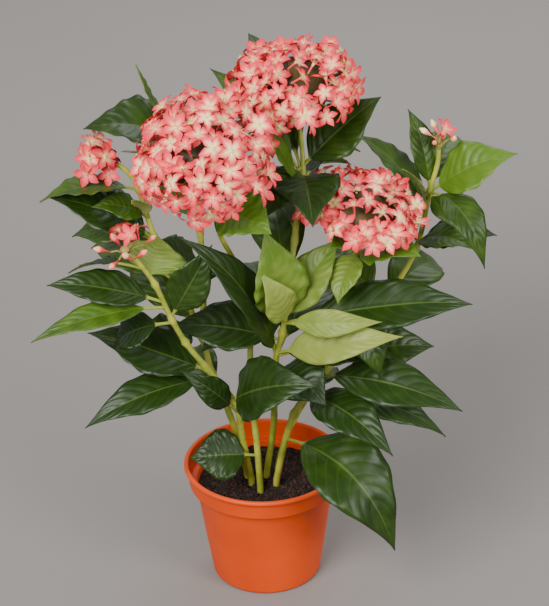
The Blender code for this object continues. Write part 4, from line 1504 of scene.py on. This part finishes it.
def make_camera():
    """The camera at the photograph's viewing angle."""
    lens = bpy.data.cameras.new("camera")
    lens.lens = CAMERA_LENS
    lens.sensor_width = CAMERA_SENSOR
    obj = bpy.data.objects.new("camera", lens)
    turn = Matrix.Rotation(math.radians(90.0 - CAMERA_DOWN), 3, "X")
    turn = turn @ Matrix.Rotation(math.radians(CAMERA_LEAN), 3, "Z")
    obj.location = CAMERA_PLACE
    obj.rotation_euler = turn.to_euler()
    bpy.context.scene.collection.objects.link(obj)
    bpy.context.scene.camera = obj


def build_plant():
    """Every fine piece of the plant, node by node."""
    leaf_green = leaf_material()
    stem_green = stem_material(
        "stem_green", (0.20, 0.25, 0.022, 1.0), (0.42, 0.43, 0.050, 1.0), (0.30, 0.24, 0.06, 1.0)
    )
    stalk_green = stem_material(
        "stalk_green", (0.20, 0.17, 0.04, 1.0), (0.33, 0.30, 0.07, 1.0), (0.28, 0.09, 0.05, 1.0)
    )
    # Painted shade: this very dark brown-green stands in for the shade deep inside a large head,
    # between its florets.
    heart_painted_shade = stem_material(
        "heart_painted_shade", (0.030, 0.026, 0.005, 1.0), (0.085, 0.068, 0.012, 1.0), (0.12, 0.03, 0.01, 1.0)
    )
    petal = petal_material()
    scatter = scatter_tree()
    tubes = tube_tree()
    settled = settle_everything()
    for node, leaves in settled.items():
        blades = leaf_piece(node, leaves, leaf_green)
        hand_in(blades, ("stem_" + node,))
        lines = [stem_line(STEMS[node])]
        if node == SHOOT_PARENT:
            lines.append(stem_line(SHOOT, foot=False))
        holder = line_holder("line_" + node, lines)
        stem = grown("wood_" + node, holder, tubes, {"Sides": 14, "Material": stem_green})
        hand_in(stem, ("stem_" + node,))
    florets = [floret_mesh(f"floret_{n}", cup, petal) for n, cup in enumerate(CUPS)]
    bud = bud_mesh(petal)
    for name in HEADS:
        fine_head(name, florets, bud, petal, stalk_green, scatter, tubes)
        # Large heads get the painted-shade heart, small heads the plain stalk green.
        heart = fine_heart(name, stalk_green if HEADS[name][1] < SMALL_HEAD else heart_painted_shade)
        hand_in(heart, ("head_" + name,))
    for shape in florets + [bud]:
        bpy.data.objects.remove(shape, do_unlink=True)
    make_pot(pot_material())
    earth = soil_material("earth", (0.0024, 0.0010, 0.0010, 1.0), (0.011, 0.0048, 0.0044, 1.0))
    crumb = soil_material("crumbs", (0.008, 0.003, 0.002, 1.0), (0.085, 0.030, 0.016, 1.0))
    make_soil(earth, crumb, scatter)


build_plant()
make_stage()
make_light()
make_camera()
